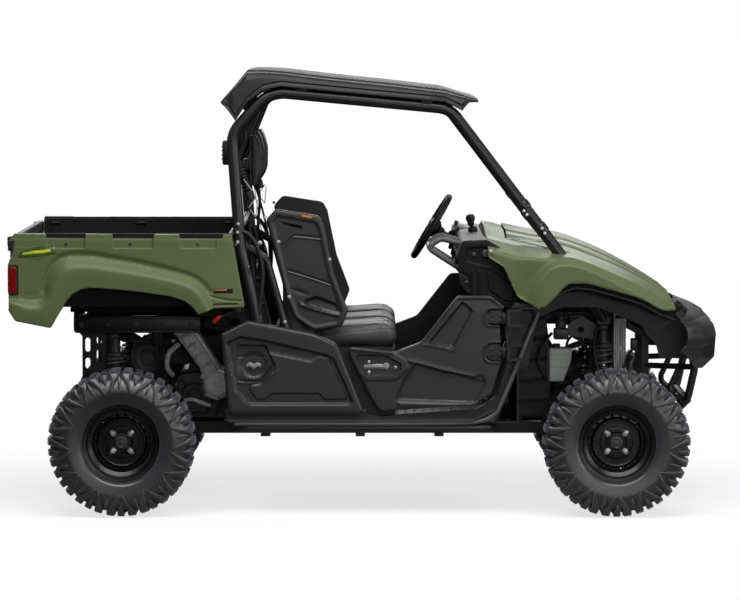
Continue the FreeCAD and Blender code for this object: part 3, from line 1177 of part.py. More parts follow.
def cargo_bed():
    """Tub with its beams and hinge pins, side panels, tailgate and lamps."""
    inner = float(S.bed_inner_half)
    wall = float(S.bed_wall)
    front, rear = float(S.bed_front), float(S.bed_rear)
    floor, top = float(S.bed_floor), float(S.bed_rail)
    outside = Part.makeBox(front - rear, 2 * (inner + wall), top - floor, vector(rear, -inner - wall,
                                                                                 floor))
    plate_top = floor + float(S.bed_floor_plate)
    hollow = Part.makeBox(front - rear - wall + 1, 2 * inner, top - floor, vector(rear - 1, -inner,
                                                                                  plate_top))
    tub = outside.cut(hollow)
    beams = []
    for y in (float(S.bed_beam_y), -float(S.bed_beam_y)):
        beams.append(Part.makeBox(-600 + 1290, S.bed_beam_width, floor - S.bed_beam_bottom,
                                  vector(-1290, y - S.bed_beam_width / 2, S.bed_beam_bottom)))
    pin = float(S.hinge_pin) / 2 + 2
    end = float(S.bed_beam_y + S.bed_beam_width / 2) + 20
    for side in (1, -1):
        beams.append(Part.makeCylinder(pin, 60, vector(S.bed_pivot_x,
                                                       side * end if side < 0 else end - 60,
                                                       S.bed_pivot_z),
                                       vector(0, 1, 0)))
    rails = [Part.makeBox(front - rear, 20, 26, vector(rear, y, top - 20)) for y in (inner + wall,
                                                                                     -inner - wall - 20)]
    gate_x, gate_z = float(S.tailgate_pivot_x), float(S.tailgate_pivot_z)
    ears = []
    for y in (575, -595):
        ears.append(Part.makeCylinder(GATE_EAR, 20, vector(gate_x, y, gate_z), vector(0, 1, 0)))
        ears.append(Part.makeBox(rear - gate_x + 2, 20, gate_z + GATE_EAR - plate_top, vector(gate_x,
                                                                                              y,
                                                                                              plate_top)))
    tub = joined([tub] + beams + rails + ears)
    gate_pin = float(S.hinge_pin) / 2
    bore = Part.makeCylinder(gate_pin + S.hinge_clearance, 1300, vector(gate_x, -650, gate_z),
                             vector(0, 1, 0))
    lever = tube([vector(-600, -650, 905), vector(-600, -665, 870), vector(-633, -676, 846)], 8, 15)
    keep(feature("tub", joined([tub.cut(bore), lever])), "bed_tub")

    half = float(S.bed_half_width)
    panel = side_prism(BED_SIDE, inner + wall + 20, half)
    for x0, x1 in ((-1362, -1203), (-1078, -910), (-790, -639)):
        panel = panel.cut(side_prism([(x0, 1157), (x0 - 6, 1210), (x1 + 6, 1210), (x1, 1157)],
                                     half - 12, half + 5))
    tabs = []
    for x0, x1 in ((-1508, -1366), (-1200, -1081), (-907, -793), (-612, -567)):
        tabs.append(side_prism([(x0, 1190), (x0 + 4, 1224), (x1 - 4, 1222), (x1, 1190)],
                               inner + wall + 22, half))
    base = [(x, z) for (x, z), _ in FLARE] + [(x, z) for _, (x, z) in reversed(FLARE)]
    share = 0.42
    tip = [(lx + (bx - lx) * share, lz + (bz - lz) * share) for (bx, bz), (lx, lz) in FLARE]
    tip += [(x, z) for _, (x, z) in reversed(FLARE)]
    wires = []
    for y, outline in ((half - 1, base), (half + float(S.flare), tip)):
        corners = [vector(x, y, z) for x, z in outline]
        wires.append(Part.makePolygon(corners + corners[:1]))
    flare = Part.makeLoft(wires, True, True)
    corner = side_prism([(-1528, 905), (-1528, 1130), (-1508, 1196), (rear - 0.2, 1196), (rear - 0.2,
                                                                                          905)],
                                                                                          inner + 2,
                                                                                          half - 5)
    side = joined([panel, flare, corner] + tabs)
    lamp_box = Part.makeBox(50, 52, 122, vector(-1539, half - 46, 964))
    side = side.cut(lamp_box)
    side = largest(cleared(side, [parts_by("bed_tub")]))
    keep(feature("bed_panels", Part.makeCompound([side, mirrored(side)])), "bed_sides")
    lamp = Part.makeBox(43, 48, 122, vector(-1532, half - 46, 964))
    lamp = lamp.makeChamfer(6, [e for e in lamp.Edges if abs(e.CenterOfMass.x + 1532) < 1])
    keep(feature("lamps_rear", Part.makeCompound([lamp, mirrored(lamp)])), "tail_lamps")

    gate_half = inner - float(S.tailgate_gap)
    slab = Part.makeBox(S.tailgate_thickness - 6, 2 * gate_half, 1206 - gate_z - 14,
                        vector(gate_x - 12, -gate_half, gate_z + 14))
    barrel = Part.makeCylinder(11, 2 * 569, vector(gate_x, -569, gate_z), vector(0, 1, 0))
    web = Part.makeBox(12, 2 * 569, 20, vector(gate_x - 6, -569, gate_z))
    spindle_bar = Part.makeCylinder(gate_pin, 2 * 592, vector(gate_x, -592, gate_z), vector(0, 1, 0))
    latches = [Part.makeBox(20, 60, 50, vector(gate_x - 30, y, 1158)) for y in (560, -620)]
    recess = [Part.makeBox(8, 500, 150, vector(gate_x - 13, y, 995)) for y in (-560, 60)]
    gate = joined([slab, barrel, web, spindle_bar] + latches)
    for tool in recess:
        gate = gate.cut(tool)
    keep(feature("gate", gate), "tailgate")


def export():
    """Checks every sub-part and writes each to its own file."""
    doc.recompute()
    for obj in doc.Objects:
        assert "Invalid" not in obj.State and "Error" not in obj.State, obj.Label
    os.makedirs("parts", exist_ok=True)
    for obj in parts:
        shape = obj.Shape
        assert not shape.isNull() and shape.isValid(), obj.Label
        shape.exportStep(f"parts/{obj.Label}.step")


wheels()
knuckles()
control_arms()
shocks()
drivelines()
steering()
chassis()
rear_frame()
front_frame()
powertrain()
cage()
cab()
doors()
seats()
dashboard()
front_body()
cargo_bed()
export()
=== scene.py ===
import math

import bmesh
import bpy
import numpy as np
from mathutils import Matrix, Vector, geometry
from mathutils.bvhtree import BVHTree


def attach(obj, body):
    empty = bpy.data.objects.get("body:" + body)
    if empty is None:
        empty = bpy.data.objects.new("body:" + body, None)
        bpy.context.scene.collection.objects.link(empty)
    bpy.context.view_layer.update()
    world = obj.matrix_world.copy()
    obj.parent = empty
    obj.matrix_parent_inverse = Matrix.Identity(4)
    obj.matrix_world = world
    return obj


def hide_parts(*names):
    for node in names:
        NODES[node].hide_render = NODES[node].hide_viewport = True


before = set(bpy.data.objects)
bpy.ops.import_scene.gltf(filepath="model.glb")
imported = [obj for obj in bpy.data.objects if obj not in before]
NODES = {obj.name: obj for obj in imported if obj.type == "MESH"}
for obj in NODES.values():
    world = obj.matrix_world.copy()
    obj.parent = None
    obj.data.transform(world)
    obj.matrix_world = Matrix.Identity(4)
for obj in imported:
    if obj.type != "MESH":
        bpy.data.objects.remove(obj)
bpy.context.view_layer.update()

MM = 0.001


# Materials

def srgb(red, green, blue):
    """A colour given as 0 to 255 on screen, as the linear colour that the shader takes."""
    def linear(value):
        value = value / 255
        return value / 12.92 if value <= 0.04045 else ((value + 0.055) / 1.055) ** 2.4
    return (linear(red), linear(green), linear(blue), 1.0)


class Finish:
    """A material and short ways to add nodes to it."""

    def __init__(self, name, **sockets):
        self.material = bpy.data.materials.new(name)
        self.material.use_nodes = True
        self.tree = self.material.node_tree
        self.shader = self.tree.nodes["Principled BSDF"]
        self.coordinates = self.tree.nodes.new("ShaderNodeTexCoord").outputs["Object"]
        for socket, value in sockets.items():
            self.shader.inputs[socket.replace("_", " ")].default_value = value
        self.normal = None

    def node(self, kind, **values):
        """A new node with values for its inputs."""
        node = self.tree.nodes.new(kind)
        for key, value in values.items():
            node.inputs[key.replace("_", " ")].default_value = value
        return node

    def link(self, source, target):
        self.tree.links.new(source, target)

    def noise(self, scale, detail=3.0, stretch=(1, 1, 1)):
        """Soft noise between 0 and 1."""
        place = self.node("ShaderNodeMapping")
        place.inputs["Scale"].default_value = stretch
        self.link(self.coordinates, place.inputs["Vector"])
        noise = self.node("ShaderNodeTexNoise", Scale=scale, Detail=detail)
        self.link(place.outputs["Vector"], noise.inputs["Vector"])
        return noise.outputs["Fac"]

    def cells(self, scale):
        """The distance from the middles of irregular cells."""
        cells = self.node("ShaderNodeTexVoronoi", Scale=scale)
        self.link(self.coordinates, cells.inputs["Vector"])
        return cells.outputs["Distance"]

    def ramp(self, source, *stops):
        """A colour for each (place, colour) stop of a source between 0 and 1."""
        ramp = self.tree.nodes.new("ShaderNodeValToRGB")
        while len(ramp.color_ramp.elements) < len(stops):
            ramp.color_ramp.elements.new(0.5)
        for element, (place, colour) in zip(ramp.color_ramp.elements, stops):
            element.position = place
            element.color = colour if len(colour) == 4 else (*colour, 1)
        self.link(source, ramp.inputs["Fac"])
        return ramp.outputs["Color"]

    def grey(self, source, low, high):
        """A source between 0 and 1 spread from low to high."""
        spread = self.node("ShaderNodeMapRange", To_Min=low, To_Max=high)
        self.link(source, spread.inputs["Value"])
        return spread.outputs["Result"]

    def colour(self, source):
        self.link(source, self.shader.inputs["Base Color"])
        return self

    def roughness(self, source):
        self.link(source, self.shader.inputs["Roughness"])
        return self

    def bump(self, source, height, strength=0.5):
        """Relief from a source, on top of the relief that is there."""
        bump = self.node("ShaderNodeBump", Strength=strength, Distance=height)
        self.link(source, bump.inputs["Height"])
        if self.normal:
            self.link(self.normal, bump.inputs["Normal"])
        self.normal = bump.outputs["Normal"]
        self.link(self.normal, self.shader.inputs["Normal"])
        return self


def shade(colour, factor):
    """A colour made darker or brighter."""
    return tuple(min(1.0, channel * factor) for channel in colour[:3]) + (1.0,)


def moulded(name, colour, rough, grain=900.0, grain_height=0.00022, specular=0.45):
    """Plastic with a fine grain, slight clouding and smoother patches where it is handled."""
    finish = Finish(name, Roughness=rough, Specular_IOR_Level=specular)
    cloud = finish.noise(2.3, 4.0)
    finish.colour(finish.ramp(cloud, (0.3, shade(colour, 0.93)), (0.7, shade(colour, 1.07))))
    finish.roughness(finish.grey(finish.noise(9.0, 5.0), rough - 0.06, rough + 0.08))
    finish.bump(finish.cells(grain), grain_height, 0.35)
    return finish


def painted(name, colour, rough, coat=0.0):
    """Powder coat on metal, with a slight orange peel and dust."""
    finish = Finish(name, Roughness=rough, Specular_IOR_Level=0.5, Coat_Weight=coat, Coat_Roughness=0.2)
    dust = finish.noise(5.0, 6.0)
    finish.colour(finish.ramp(dust, (0.35, colour), (0.8, shade(colour, 1.25))))
    finish.roughness(finish.grey(finish.noise(14.0, 4.0), rough - 0.05, rough + 0.08))
    finish.bump(finish.noise(420.0, 2.0), 0.00012, 0.3)
    return finish


def metal(name, colour, rough, stretch=(1, 1, 1), scale=90.0, metallic=0.55):
    """Bare metal with streaks, which a stretch draws out along one axis."""
    finish = Finish(name, Metallic=metallic, Roughness=rough)
    streak = finish.noise(scale, 5.0, stretch)
    finish.colour(finish.ramp(streak, (0.3, shade(colour, 0.8)), (0.7, shade(colour, 1.1))))
    finish.roughness(finish.grey(finish.noise(30.0, 4.0), rough - 0.08, rough + 0.12))
    finish.bump(streak, 0.0002, 0.3)
    return finish


olive = moulded("olive_plastic", srgb(93, 103, 69), 0.42, 1400.0, 0.00008, specular=0.3)
dark_plastic = moulded("dark_plastic", srgb(36, 36, 37), 0.4, specular=0.6)
black_plastic = moulded("black_plastic", srgb(18, 18, 19), 0.5)
powder = painted("black_powder_coat", srgb(30, 30, 31), 0.34)
frame_paint = painted("frame_paint", srgb(17, 17, 18), 0.42)
rim_paint = painted("rim_paint", srgb(6, 6, 7), 0.34)
casting = metal("cast_alloy", srgb(226, 226, 230), 0.34, scale=160.0, metallic=0.3)
bright_alloy = metal("bright_alloy", srgb(236, 236, 238), 0.4, (14, 14, 1), 40.0, metallic=0.15)
dark_casting = painted("dark_casting", srgb(52, 52, 54), 0.42)
# A grey lighter than the black that these parts really are. It stands in for the highlights on the springs,
# the sill tubes and the grab bar: painted highlight.
highlight_grey_paint = painted("highlight_grey_paint", srgb(84, 84, 86), 0.36)
roof_plastic = moulded("roof_plastic", srgb(30, 30, 31), 0.55)
pale_alloy = painted("pale_alloy", srgb(244, 244, 246), 0.3)
bed_plastic = moulded("bed_plastic", srgb(13, 13, 14), 0.62, specular=0.25)
bright = metal("bright_steel", srgb(205, 205, 208), 0.25)
brushed = metal("brushed_steel", srgb(160, 160, 163), 0.34, (1, 14, 14), 30.0)
rubber = moulded("tyre_rubber", srgb(41, 40, 44), 0.36, 500.0, 0.0004)
for socket, value in (("Specular IOR Level", 0.9), ("Sheen Weight", 0.4), ("Sheen Roughness", 0.35),
                      ("Sheen Tint", (0.80, 0.77, 0.92, 1.0))):
    rubber.shader.inputs[socket].default_value = value
grip_rubber = moulded("grip_rubber", srgb(30, 30, 31), 0.6, 700.0, 0.0003)
vinyl = moulded("seat_vinyl", srgb(70, 70, 72), 0.5, 800.0, 0.0003)
webbing = moulded("belt_webbing", srgb(24, 24, 25), 0.75, 1200.0, 0.0004)
dark_vinyl = moulded("dark_vinyl", srgb(40, 40, 41), 0.5, 800.0, 0.0003)
sewing_thread = moulded("sewing_thread", srgb(70, 70, 72), 0.7, 900.0, 0.0002)
dark_olive = moulded("dark_olive_film", srgb(62, 84, 34), 0.4, 1400.0, 0.00005)
red_plastic = moulded("red_plastic", srgb(168, 20, 16), 0.4)

red_lens = Finish("red_lens", Roughness=0.3, Specular_IOR_Level=0.35)
red_lens.colour(red_lens.ramp(red_lens.cells(110.0), (0.0, srgb(140, 6, 4)), (0.8, srgb(98, 3, 2))))
red_lens.bump(red_lens.cells(110.0), 0.001, 0.5)

clear_lens = Finish("clear_lens", Roughness=0.08, Coat_Weight=0.5)
clear_lens.colour(clear_lens.ramp(clear_lens.cells(60.0), (0.0, srgb(74, 75, 78)), (0.7, srgb(24, 25, 27))))

tank_plastic = Finish("tank_plastic", Roughness=0.42, Subsurface_Weight=0.15, Subsurface_Scale=0.02)
tank_plastic.colour(tank_plastic.ramp(tank_plastic.noise(6.0, 3.0),
                                      (0.3, srgb(176, 184, 174)), (0.7, srgb(196, 203, 194))))
tank_plastic.bump(tank_plastic.noise(300.0), 0.0002, 0.3)

orange_film = Finish("orange_film", Roughness=0.4)
orange_film.colour(orange_film.ramp(orange_film.noise(60.0),
                                    (0.3, srgb(176, 98, 44)), (0.7, srgb(196, 118, 58))))

lime_film = Finish("lime_film", Roughness=0.35)
lime_film.colour(lime_film.ramp(lime_film.noise(40.0), (0.3, srgb(176, 190, 22)), (0.7, srgb(198, 208, 40))))

NODE_FINISH = {
    powder: ["cage_sides", "cage_cross_tubes", "bumper_guard", "main_frame", "side_bars"],
    frame_paint: ["skid_plate", "rear_subframe", "front_subframe", "hitch_receiver", "door_hinges",
                  "front_control_arms", "rear_control_arms", "front_shocks", "rear_shocks", "tie_rods"],
    rim_paint: [name for name in NODES if name.startswith("rim_")],
    rubber: [name for name in NODES if name.startswith("tyre_")],
    # The grab bar takes the grey that stands in for its highlights: painted highlight.
    highlight_grey_paint: ["grab_bar"],
    dark_casting: ["exhaust", "front_driveline", "rear_driveline", "knuckle_left", "knuckle_right",
                   "steering_column"],
    casting: ["engine"],
    bright_alloy: ["radiator"],
    tank_plastic: ["coolant_tank"],
    roof_plastic: ["roof"],
    dark_plastic: ["side_covers", "shoulder_guards", "front_fascia", "door_left", "door_right"],
    black_plastic: ["door_jambs", "floor_tub", "seat_box", "dash", "wheel_liners"],
    bed_plastic: ["bed_tub"],
    grip_rubber: ["steering_wheel"],
    vinyl: ["seat_cushions", "seat_backs", "head_pads"],
    webbing: ["seat_belts"],
    olive: ["front_fenders", "hood", "bed_sides", "tailgate"],
    clear_lens: ["headlamps"],
    red_lens: ["tail_lamps"],
}


for finish, names in NODE_FINISH.items():
    for name in names:
        materials = NODES[name].data.materials
        materials.clear()
        materials.append(finish.material)

# Shapes, with sizes in millimetres

# Where a point (u, v) of an outline lies, at w along the axis that the outline lies across
ACROSS = {"x": lambda u, v, w: (w, u, v), "y": lambda u, v, w: (u, w, v)}


def weld(mesh):
    """Joins points that meet and turns all faces outwards."""
    edit = bmesh.new()
    edit.from_mesh(mesh)
    bmesh.ops.remove_doubles(edit, verts=edit.verts, dist=1e-6)
    bmesh.ops.recalc_face_normals(edit, faces=edit.faces)
    edit.to_mesh(mesh)
    edit.free()


def make(name, vertices, faces, finish, body, replaces=(), sharp=32.0):
    """A mesh piece that rides on a body."""
    mesh = bpy.data.meshes.new(name)
    mesh.from_pydata([tuple(MM * float(value) for value in vertex) for vertex in vertices], [], faces)
    mesh.validate()
    mesh.update()
    weld(mesh)
    for polygon in mesh.polygons:
        polygon.use_smooth = True
    if sharp:
        mesh.set_sharp_from_angle(angle=math.radians(sharp))
    obj = bpy.data.objects.new(name, mesh)
    bpy.context.scene.collection.objects.link(obj)
    mesh.materials.append(finish.material)
    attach(obj, body)
    if replaces:
        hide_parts(*replaces)
    return obj


class Shape:
    """Vertices and faces gathered from simple forms, then made into one piece."""

    def __init__(self):
        self.vertices = []
        self.faces = []

    def add(self, vertices, faces):
        start = len(self.vertices)
        self.vertices += [tuple(map(float, vertex)) for vertex in vertices]
        self.faces += [tuple(start + index for index in face) for face in faces]
        return self

    def grid(self, rows, closed_rows=False, closed_columns=False, caps=False):
        """Quads over rows of points that all have the same number of points."""
        count, wide = len(rows), len(rows[0])
        vertices = [point for row in rows for point in row]
        faces = []
        for i in range(count if closed_rows else count - 1):
            for j in range(wide if closed_columns else wide - 1):
                here, there = i * wide, (i + 1) % count * wide
                after = (j + 1) % wide
                faces.append((here + j, here + after, there + after, there + j))
        if caps:
            faces.append(tuple(range(wide))[::-1])
            faces.append(tuple((count - 1) * wide + j for j in range(wide)))
        return self.add(vertices, faces)

    def lathe(self, profile, centre, axis, segments=48):
        """A profile of (along, radius) turned about an axis through a centre."""
        axis = Vector(axis).normalized()
        side = axis.orthogonal().normalized()
        other = axis.cross(side)
        centre = Vector(centre)
        rows = []
        for k in range(segments):
            angle = 2 * math.pi * k / segments
            out = side * math.cos(angle) + other * math.sin(angle)
            rows.append([centre + axis * along + out * radius for along, radius in profile])
        return self.grid(rows, closed_rows=True)

    def tube(self, line, radius, segments=12):
        """A round bar along a line of points. Its radius may be a function of the share of the way."""
        line = [Vector(point) for point in line]
        rows = []
        side = None
        for i, point in enumerate(line):
            ahead = (line[min(i + 1, len(line) - 1)] - line[max(i - 1, 0)]).normalized()
            side = ahead.orthogonal() if side is None else side - ahead * side.dot(ahead)
            side.normalize()
            other = ahead.cross(side)
            size = radius(i / (len(line) - 1)) if callable(radius) else radius
            rows.append([point + (side * math.cos(angle) + other * math.sin(angle)) * size
                         for angle in (2 * math.pi * k / segments for k in range(segments))])
        return self.grid(rows, closed_columns=True, caps=True)

    def block(self, corner, opposite, bevel=2.0):
        """A box between two opposite corners, with chamfered edges."""
        edit = bmesh.new()
        bmesh.ops.create_cube(edit, size=1.0)
        low = [min(pair) for pair in zip(corner, opposite)]
        size = [max(pair) - min(pair) for pair in zip(corner, opposite)]
        for vertex in edit.verts:
            for axis in range(3):
                vertex.co[axis] = low[axis] + (vertex.co[axis] + 0.5) * size[axis]
        reach = min(bevel, 0.4 * min(size))
        if reach > 0:
            bmesh.ops.bevel(edit, geom=edit.edges[:], offset=reach, segments=2, profile=0.5, affect="EDGES")
        edit.verts.index_update()
        self.add([vertex.co for vertex in edit.verts], [[v.index for v in face.verts] for face in edit.faces])
        edit.free()
        return self

    def prism(self, outline, low, high, axis="y"):
        """A plate with an outline in the plane across an axis."""
        at = ACROSS[axis]
        count = len(outline)
        vertices = [at(u, v, w) for w in (low, high) for u, v in outline]
        faces = [tuple(range(count)), tuple(range(2 * count - 1, count - 1, -1))]
        faces += [(i, (i + 1) % count, count + (i + 1) % count, count + i) for i in range(count)]
        return self.add(vertices, faces)

    def plate(self, outline, holes, low, high, axis="y"):
        """A plate with holes through it."""
        at = ACROSS[axis]
        loops = [rounded(loop, 12.0) for loop in [outline] + list(holes)]
        points, edges = [], []
        for loop in loops:
            start, count = len(points), len(loop)
            points += [Vector(point) for point in loop]
            edges += [(start + k, start + (k + 1) % count) for k in range(count)]
        result = geometry.delaunay_2d_cdt(points, edges, [], 1, 1e-4)
        flat = np.array([tuple(point) for point in result[0]])
        middles = np.array([flat[list(face)].mean(0) for face in result[2]])
        open_at = np.zeros(len(middles), bool)
        for loop in loops[1:]:
            open_at |= depth(middles, loop) > 0
        faces = [face for face, is_open in zip(result[2], open_at) if not is_open]
        self.add([at(u, v, low) for u, v in flat], faces)
        self.add([at(u, v, high) for u, v in flat], [face[::-1] for face in faces])
        for loop in loops:
            self.grid([[at(u, v, low) for u, v in loop], [at(u, v, high) for u, v in loop]],
                      closed_columns=True)
        return self

    def nut(self, centre, axis, radius, height):
        """A hexagon head with a washer under it."""
        self.lathe([(0, 0), (0, radius * 1.35), (height * 0.18, radius * 1.35),
                    (height * 0.22, radius * 1.1)],
                   centre, axis, 20)
        return self.lathe([(height * 0.2, radius), (height * 0.88, radius), (height, radius * 0.82),
                           (height, 0)],
                          centre, axis, 6)

    def piece(self, name, finish, body, **options):
        return make(name, self.vertices, self.faces, finish, body, **options)


def curve(points, count, closed=False):
    """Points evenly spaced by parameter on a smooth line through the given points."""
    points = np.array(points, float)
    total = len(points)
    spans = total if closed else total - 1
    line = []
    for place_at in np.linspace(0, spans, count, endpoint=not closed):
        i = min(int(place_at), spans - 1)
        t = place_at - i
        if closed:
            a, b, c, d = (points[(i + k) % total] for k in (-1, 0, 1, 2))
        else:
            b, c = points[i], points[i + 1]
            a = points[i - 1] if i else 2 * b - c
            d = points[i + 2] if i + 2 < total else 2 * c - b
        line.append(0.5 * (2 * b + (c - a) * t + (2 * a - 5 * b + 4 * c - d) * t ** 2
                           + (3 * b - a - 3 * c + d) * t ** 3))
    return np.array(line)


def rounded(points, step=6.0, closed=True):
    """A line through corners (u, v) or (u, v, radius), with arcs at its round corners."""
    corners = [(np.array(point[:2], float), point[2] if len(point) > 2 else 0.0) for point in points]
    count = len(corners)
    line = []
    for i, (corner, radius) in enumerate(corners):
        if radius <= 0 or (not closed and i in (0, count - 1)):
            line.append(corner)
            continue
        back, ahead = corners[i - 1][0] - corner, corners[(i + 1) % count][0] - corner
        long_back, long_ahead = np.linalg.norm(back), np.linalg.norm(ahead)
        back, ahead = back / long_back, ahead / long_ahead
        half = math.acos(float(np.clip(back @ ahead, -1, 1))) / 2
        reach = min(radius / math.tan(half), 0.49 * long_back, 0.49 * long_ahead)
        radius = reach * math.tan(half)
        middle = (back + ahead) / np.linalg.norm(back + ahead)
        centre = corner + middle * radius / math.sin(half)
        start, end = corner + back * reach - centre, corner + ahead * reach - centre
        first = math.atan2(start[1], start[0])
        turn = (math.atan2(end[1], end[0]) - first + math.pi) % (2 * math.pi) - math.pi
        parts = max(2, math.ceil(abs(turn) * radius / step))
        for k in range(parts + 1):
            angle = first + turn * k / parts
            line.append(centre + radius * np.array((math.cos(angle), math.sin(angle))))
    spaced = []
    for i, point in enumerate(line):
        if not closed and i == len(line) - 1:
            spaced.append(point)
            break
        following = line[(i + 1) % len(line)]
        gap = np.linalg.norm(following - point)
        if gap < 1e-6:
            continue
        parts = max(1, math.ceil(gap / step))
        spaced += [point + (following - point) * k / parts for k in range(parts)]
    return np.array(spaced)


def distance(points, line, closed=True):
    """How far each point lies from a line."""
    best = np.full(len(points), np.inf)
    ends = np.roll(line, -1, axis=0) if closed else line[1:]
    for start, end in zip(line, ends):
        along = end - start
        share = np.clip(((points - start) @ along) / max(float(along @ along), 1e-9), 0, 1)
        best = np.minimum(best, np.hypot(*(points - start - share[:, None] * along).T))
    return best


def depth(points, outline):
    """How far each point lies inside an outline, negative outside it."""
    within = np.zeros(len(points), bool)
    for start, end in zip(outline, np.roll(outline, -1, axis=0)):
        crosses = (start[1] > points[:, 1]) != (end[1] > points[:, 1])
        rise = end[1] - start[1]
        meets = start[0] + (end[0] - start[0]) * (points[:, 1] - start[1]) / (rise if rise else 1e-9)
        within ^= crosses & (points[:, 0] < meets)
    far = distance(points, outline)
    return np.where(within, far, -far)


def ease(share):
    """A share between 0 and 1 with a soft start and a soft end."""
    share = np.clip(share, 0, 1)
    return share * share * (3 - 2 * share)


# Cells that hold at most one point of a panel, as a share of its grid
NEAREST = 0.45


class Panel:
    """A moulded panel: an outline in X and Z whose outer face is shaped along Y."""

    def __init__(self, outline, grid=7.0, rim=6.0):
        self.grid_size = grid
        self.rim = rim
        self.outline = rounded(outline, grid * 0.8)
        self.shapes = []
        self.guides = []

    def area(self, outline, height, slope):
        """Raises what lies inside an outline, or lowers it, over a slope."""
        line = rounded(outline, self.grid_size * 0.8)
        self.guides.append((line, slope))
        self.shapes.append(lambda points: height * ease(depth(points, line) / slope))
        return self

    def tilted(self, outline, start, end, low, high, slope):
        """An area whose height runs from low at one point to high at another."""
        line = rounded(outline, self.grid_size * 0.8)
        start, end = np.array(start, float), np.array(end, float)
        along = end - start
        self.guides.append((line, slope))
        self.shapes.append(lambda points: ease(depth(points, line) / slope) * (
            low + (high - low) * np.clip((points - start) @ along / float(along @ along), 0, 1)))
        return self

    def fold(self, line, width, height):
        """A round bead along a line, or a groove where the height is negative."""
        line = rounded(line, self.grid_size * 0.8, closed=False)
        self.guides.append((line, 0))
        self.shapes.append(lambda points: height * ease(1 - distance(points, line, False) / width))
        return self

    def form(self, function):
        """Adds an offset given as a function of X and Z."""
        self.shapes.append(lambda points: function(points[:, 0], points[:, 1]))
        return self

    def height(self, points):
        total = np.zeros(len(points))
        for shape in self.shapes:
            total = total + shape(points)
        return total

    def spread(self):
        """The points of the outer face: the edge, rows inside it, lines along the forms and a grid."""
        sets = [self.outline]
        for share in (0.15, 0.5, 1.0):
            sets.append(inset(self.outline, self.rim * share))
        for line, slope in self.guides:
            sets.append(line)
            if slope:
                sets.append(inset(line, slope))
        low, high = self.outline.min(0), self.outline.max(0)
        across, up = np.meshgrid(np.arange(low[0], high[0], self.grid_size),
                                 np.arange(low[1], high[1], self.grid_size))
        across = across + (np.arange(across.shape[0]) % 2 * self.grid_size / 2)[:, None]
        sets.append(np.column_stack([across.ravel(), up.ravel()]))
        edge = len(self.outline)
        near = self.grid_size * NEAREST
        taken = {tuple(np.floor(point / near).astype(int)) for point in self.outline}
        kept = [self.outline]
        for group in sets[1:]:
            group = group[depth(group, self.outline) > self.rim * 0.1]
            fresh = []
            for point in group:
                cell = tuple(np.floor(point / near).astype(int))
                if cell not in taken:
                    taken.add(cell)
                    fresh.append(point)
            if fresh:
                kept.append(np.array(fresh))
        return np.vstack(kept), edge

    def piece(self, name, finish, body, side, face, back, turn=None, **options):
        """Makes the panel with its outer face at a distance from the centre plane, and its back."""
        points, edge = self.spread()
        loop = list(range(edge))
        result = geometry.delaunay_2d_cdt([Vector(point) for point in points], [], [loop], 1, 1e-4)
        flat = np.array([(v.x, v.y) for v in result[0]])
        inside = depth(flat, self.outline)
        share = np.clip(inside / self.rim, 0, 1)
        edge_drop = self.rim * (1 - np.sqrt(np.clip(1 - (1 - share) ** 2, 0, 1)))
        lift = self.height(flat)
        front = [(x, side * (face + up - drop), z) for (x, z), up, drop in zip(flat, lift, edge_drop)]
        shape = Shape().add(front, result[2])
        at_input = {}
        for index, sources in enumerate(result[3]):
            for source in sources:
                at_input[source] = index
        ring = [at_input[i] for i in loop]
        start = len(shape.vertices)
        shape.add([(x, side * back, z) for x, z in self.outline], [])
        bottom = [start + i for i in loop]
        shape.faces.append(tuple(bottom))
        for i in range(edge):
            k = (i + 1) % edge
            shape.faces.append((ring[i], bottom[i], bottom[k], ring[k]))
        if turn:
            shape.vertices = [turn(*vertex) for vertex in shape.vertices]
        return shape.piece(name, finish, body, **options)


def inset(line, amount):
    """A closed line moved inwards."""
    area = np.sum(line[:, 0] * np.roll(line[:, 1], -1) - np.roll(line[:, 0], -1) * line[:, 1])
    along = np.roll(line, -1, axis=0) - np.roll(line, 1, axis=0)
    along = along / np.maximum(np.linalg.norm(along, axis=1), 1e-9)[:, None]
    inward = np.column_stack([-along[:, 1], along[:, 0]]) * (1 if area > 0 else -1)
    return line + inward * amount


SIDES = (("right", -1), ("left", 1))


def shared(side, node):
    """The node that a left and a right piece replace together. The right one names it."""
    return (node,) if side < 0 else ()


# Wheels

FRONT_AXLE, REAR_AXLE = 1085, -1050
AXLE_HEIGHT = 319
TYRE_REACH = 318.6
# How far a lug's foot lies under the carcass
LUG_FOOT = 9.0


def carcass(t, half):
    """The tyre's skin at a share of the way from its middle to its side: (across, radius)."""
    shares = (0, 0.35, 0.55, 0.70, 0.85, 1.0)
    across = np.interp(t, shares, (0, 0.45, 0.70, 0.84, 0.925, 0.945)) * half
    radius = np.interp(t, shares, (301, 299, 292, 274, 246, 216))
    return float(across), float(radius)


LUG_PAIRS = 13
# Rows of (share of the way from the tyre's middle to its side, left edge, right edge, height)
V_ARM = [(0.02, 0.08, 0.32, 18), (0.24, 0.06, 0.31, 18.5), (0.34, 0.06, 0.30, 19), (0.56, 0.06, 0.30, 19),
         (0.63, 0.08, 0.29, 15), (0.70, 0.13, 0.31, 11), (0.78, 0.20, 0.35, 9), (0.86, 0.27, 0.40, 8),
         (0.93, 0.34, 0.45, 7), (0.98, 0.40, 0.485, 5), (1.0, 0.43, 0.49, 3)]
LUGS = [
    V_ARM,
    [(t, 1 - right, 1 - left, height) for t, left, right, height in V_ARM],
    [(0.28, 0.41, 0.59, 18), (0.40, 0.39, 0.61, 19), (0.56, 0.39, 0.61, 18), (0.64, 0.42, 0.58, 13),
     (0.72, 0.46, 0.54, 8), (0.77, 0.48, 0.52, 2)],
    [(0.60, 0.94, 1.01, 11), (0.66, 0.93, 1.02, 11), (0.74, 0.92, 1.03, 9), (0.84, 0.93, 1.02, 7.5),
     (0.91, 0.96, 0.99, 2)],
]


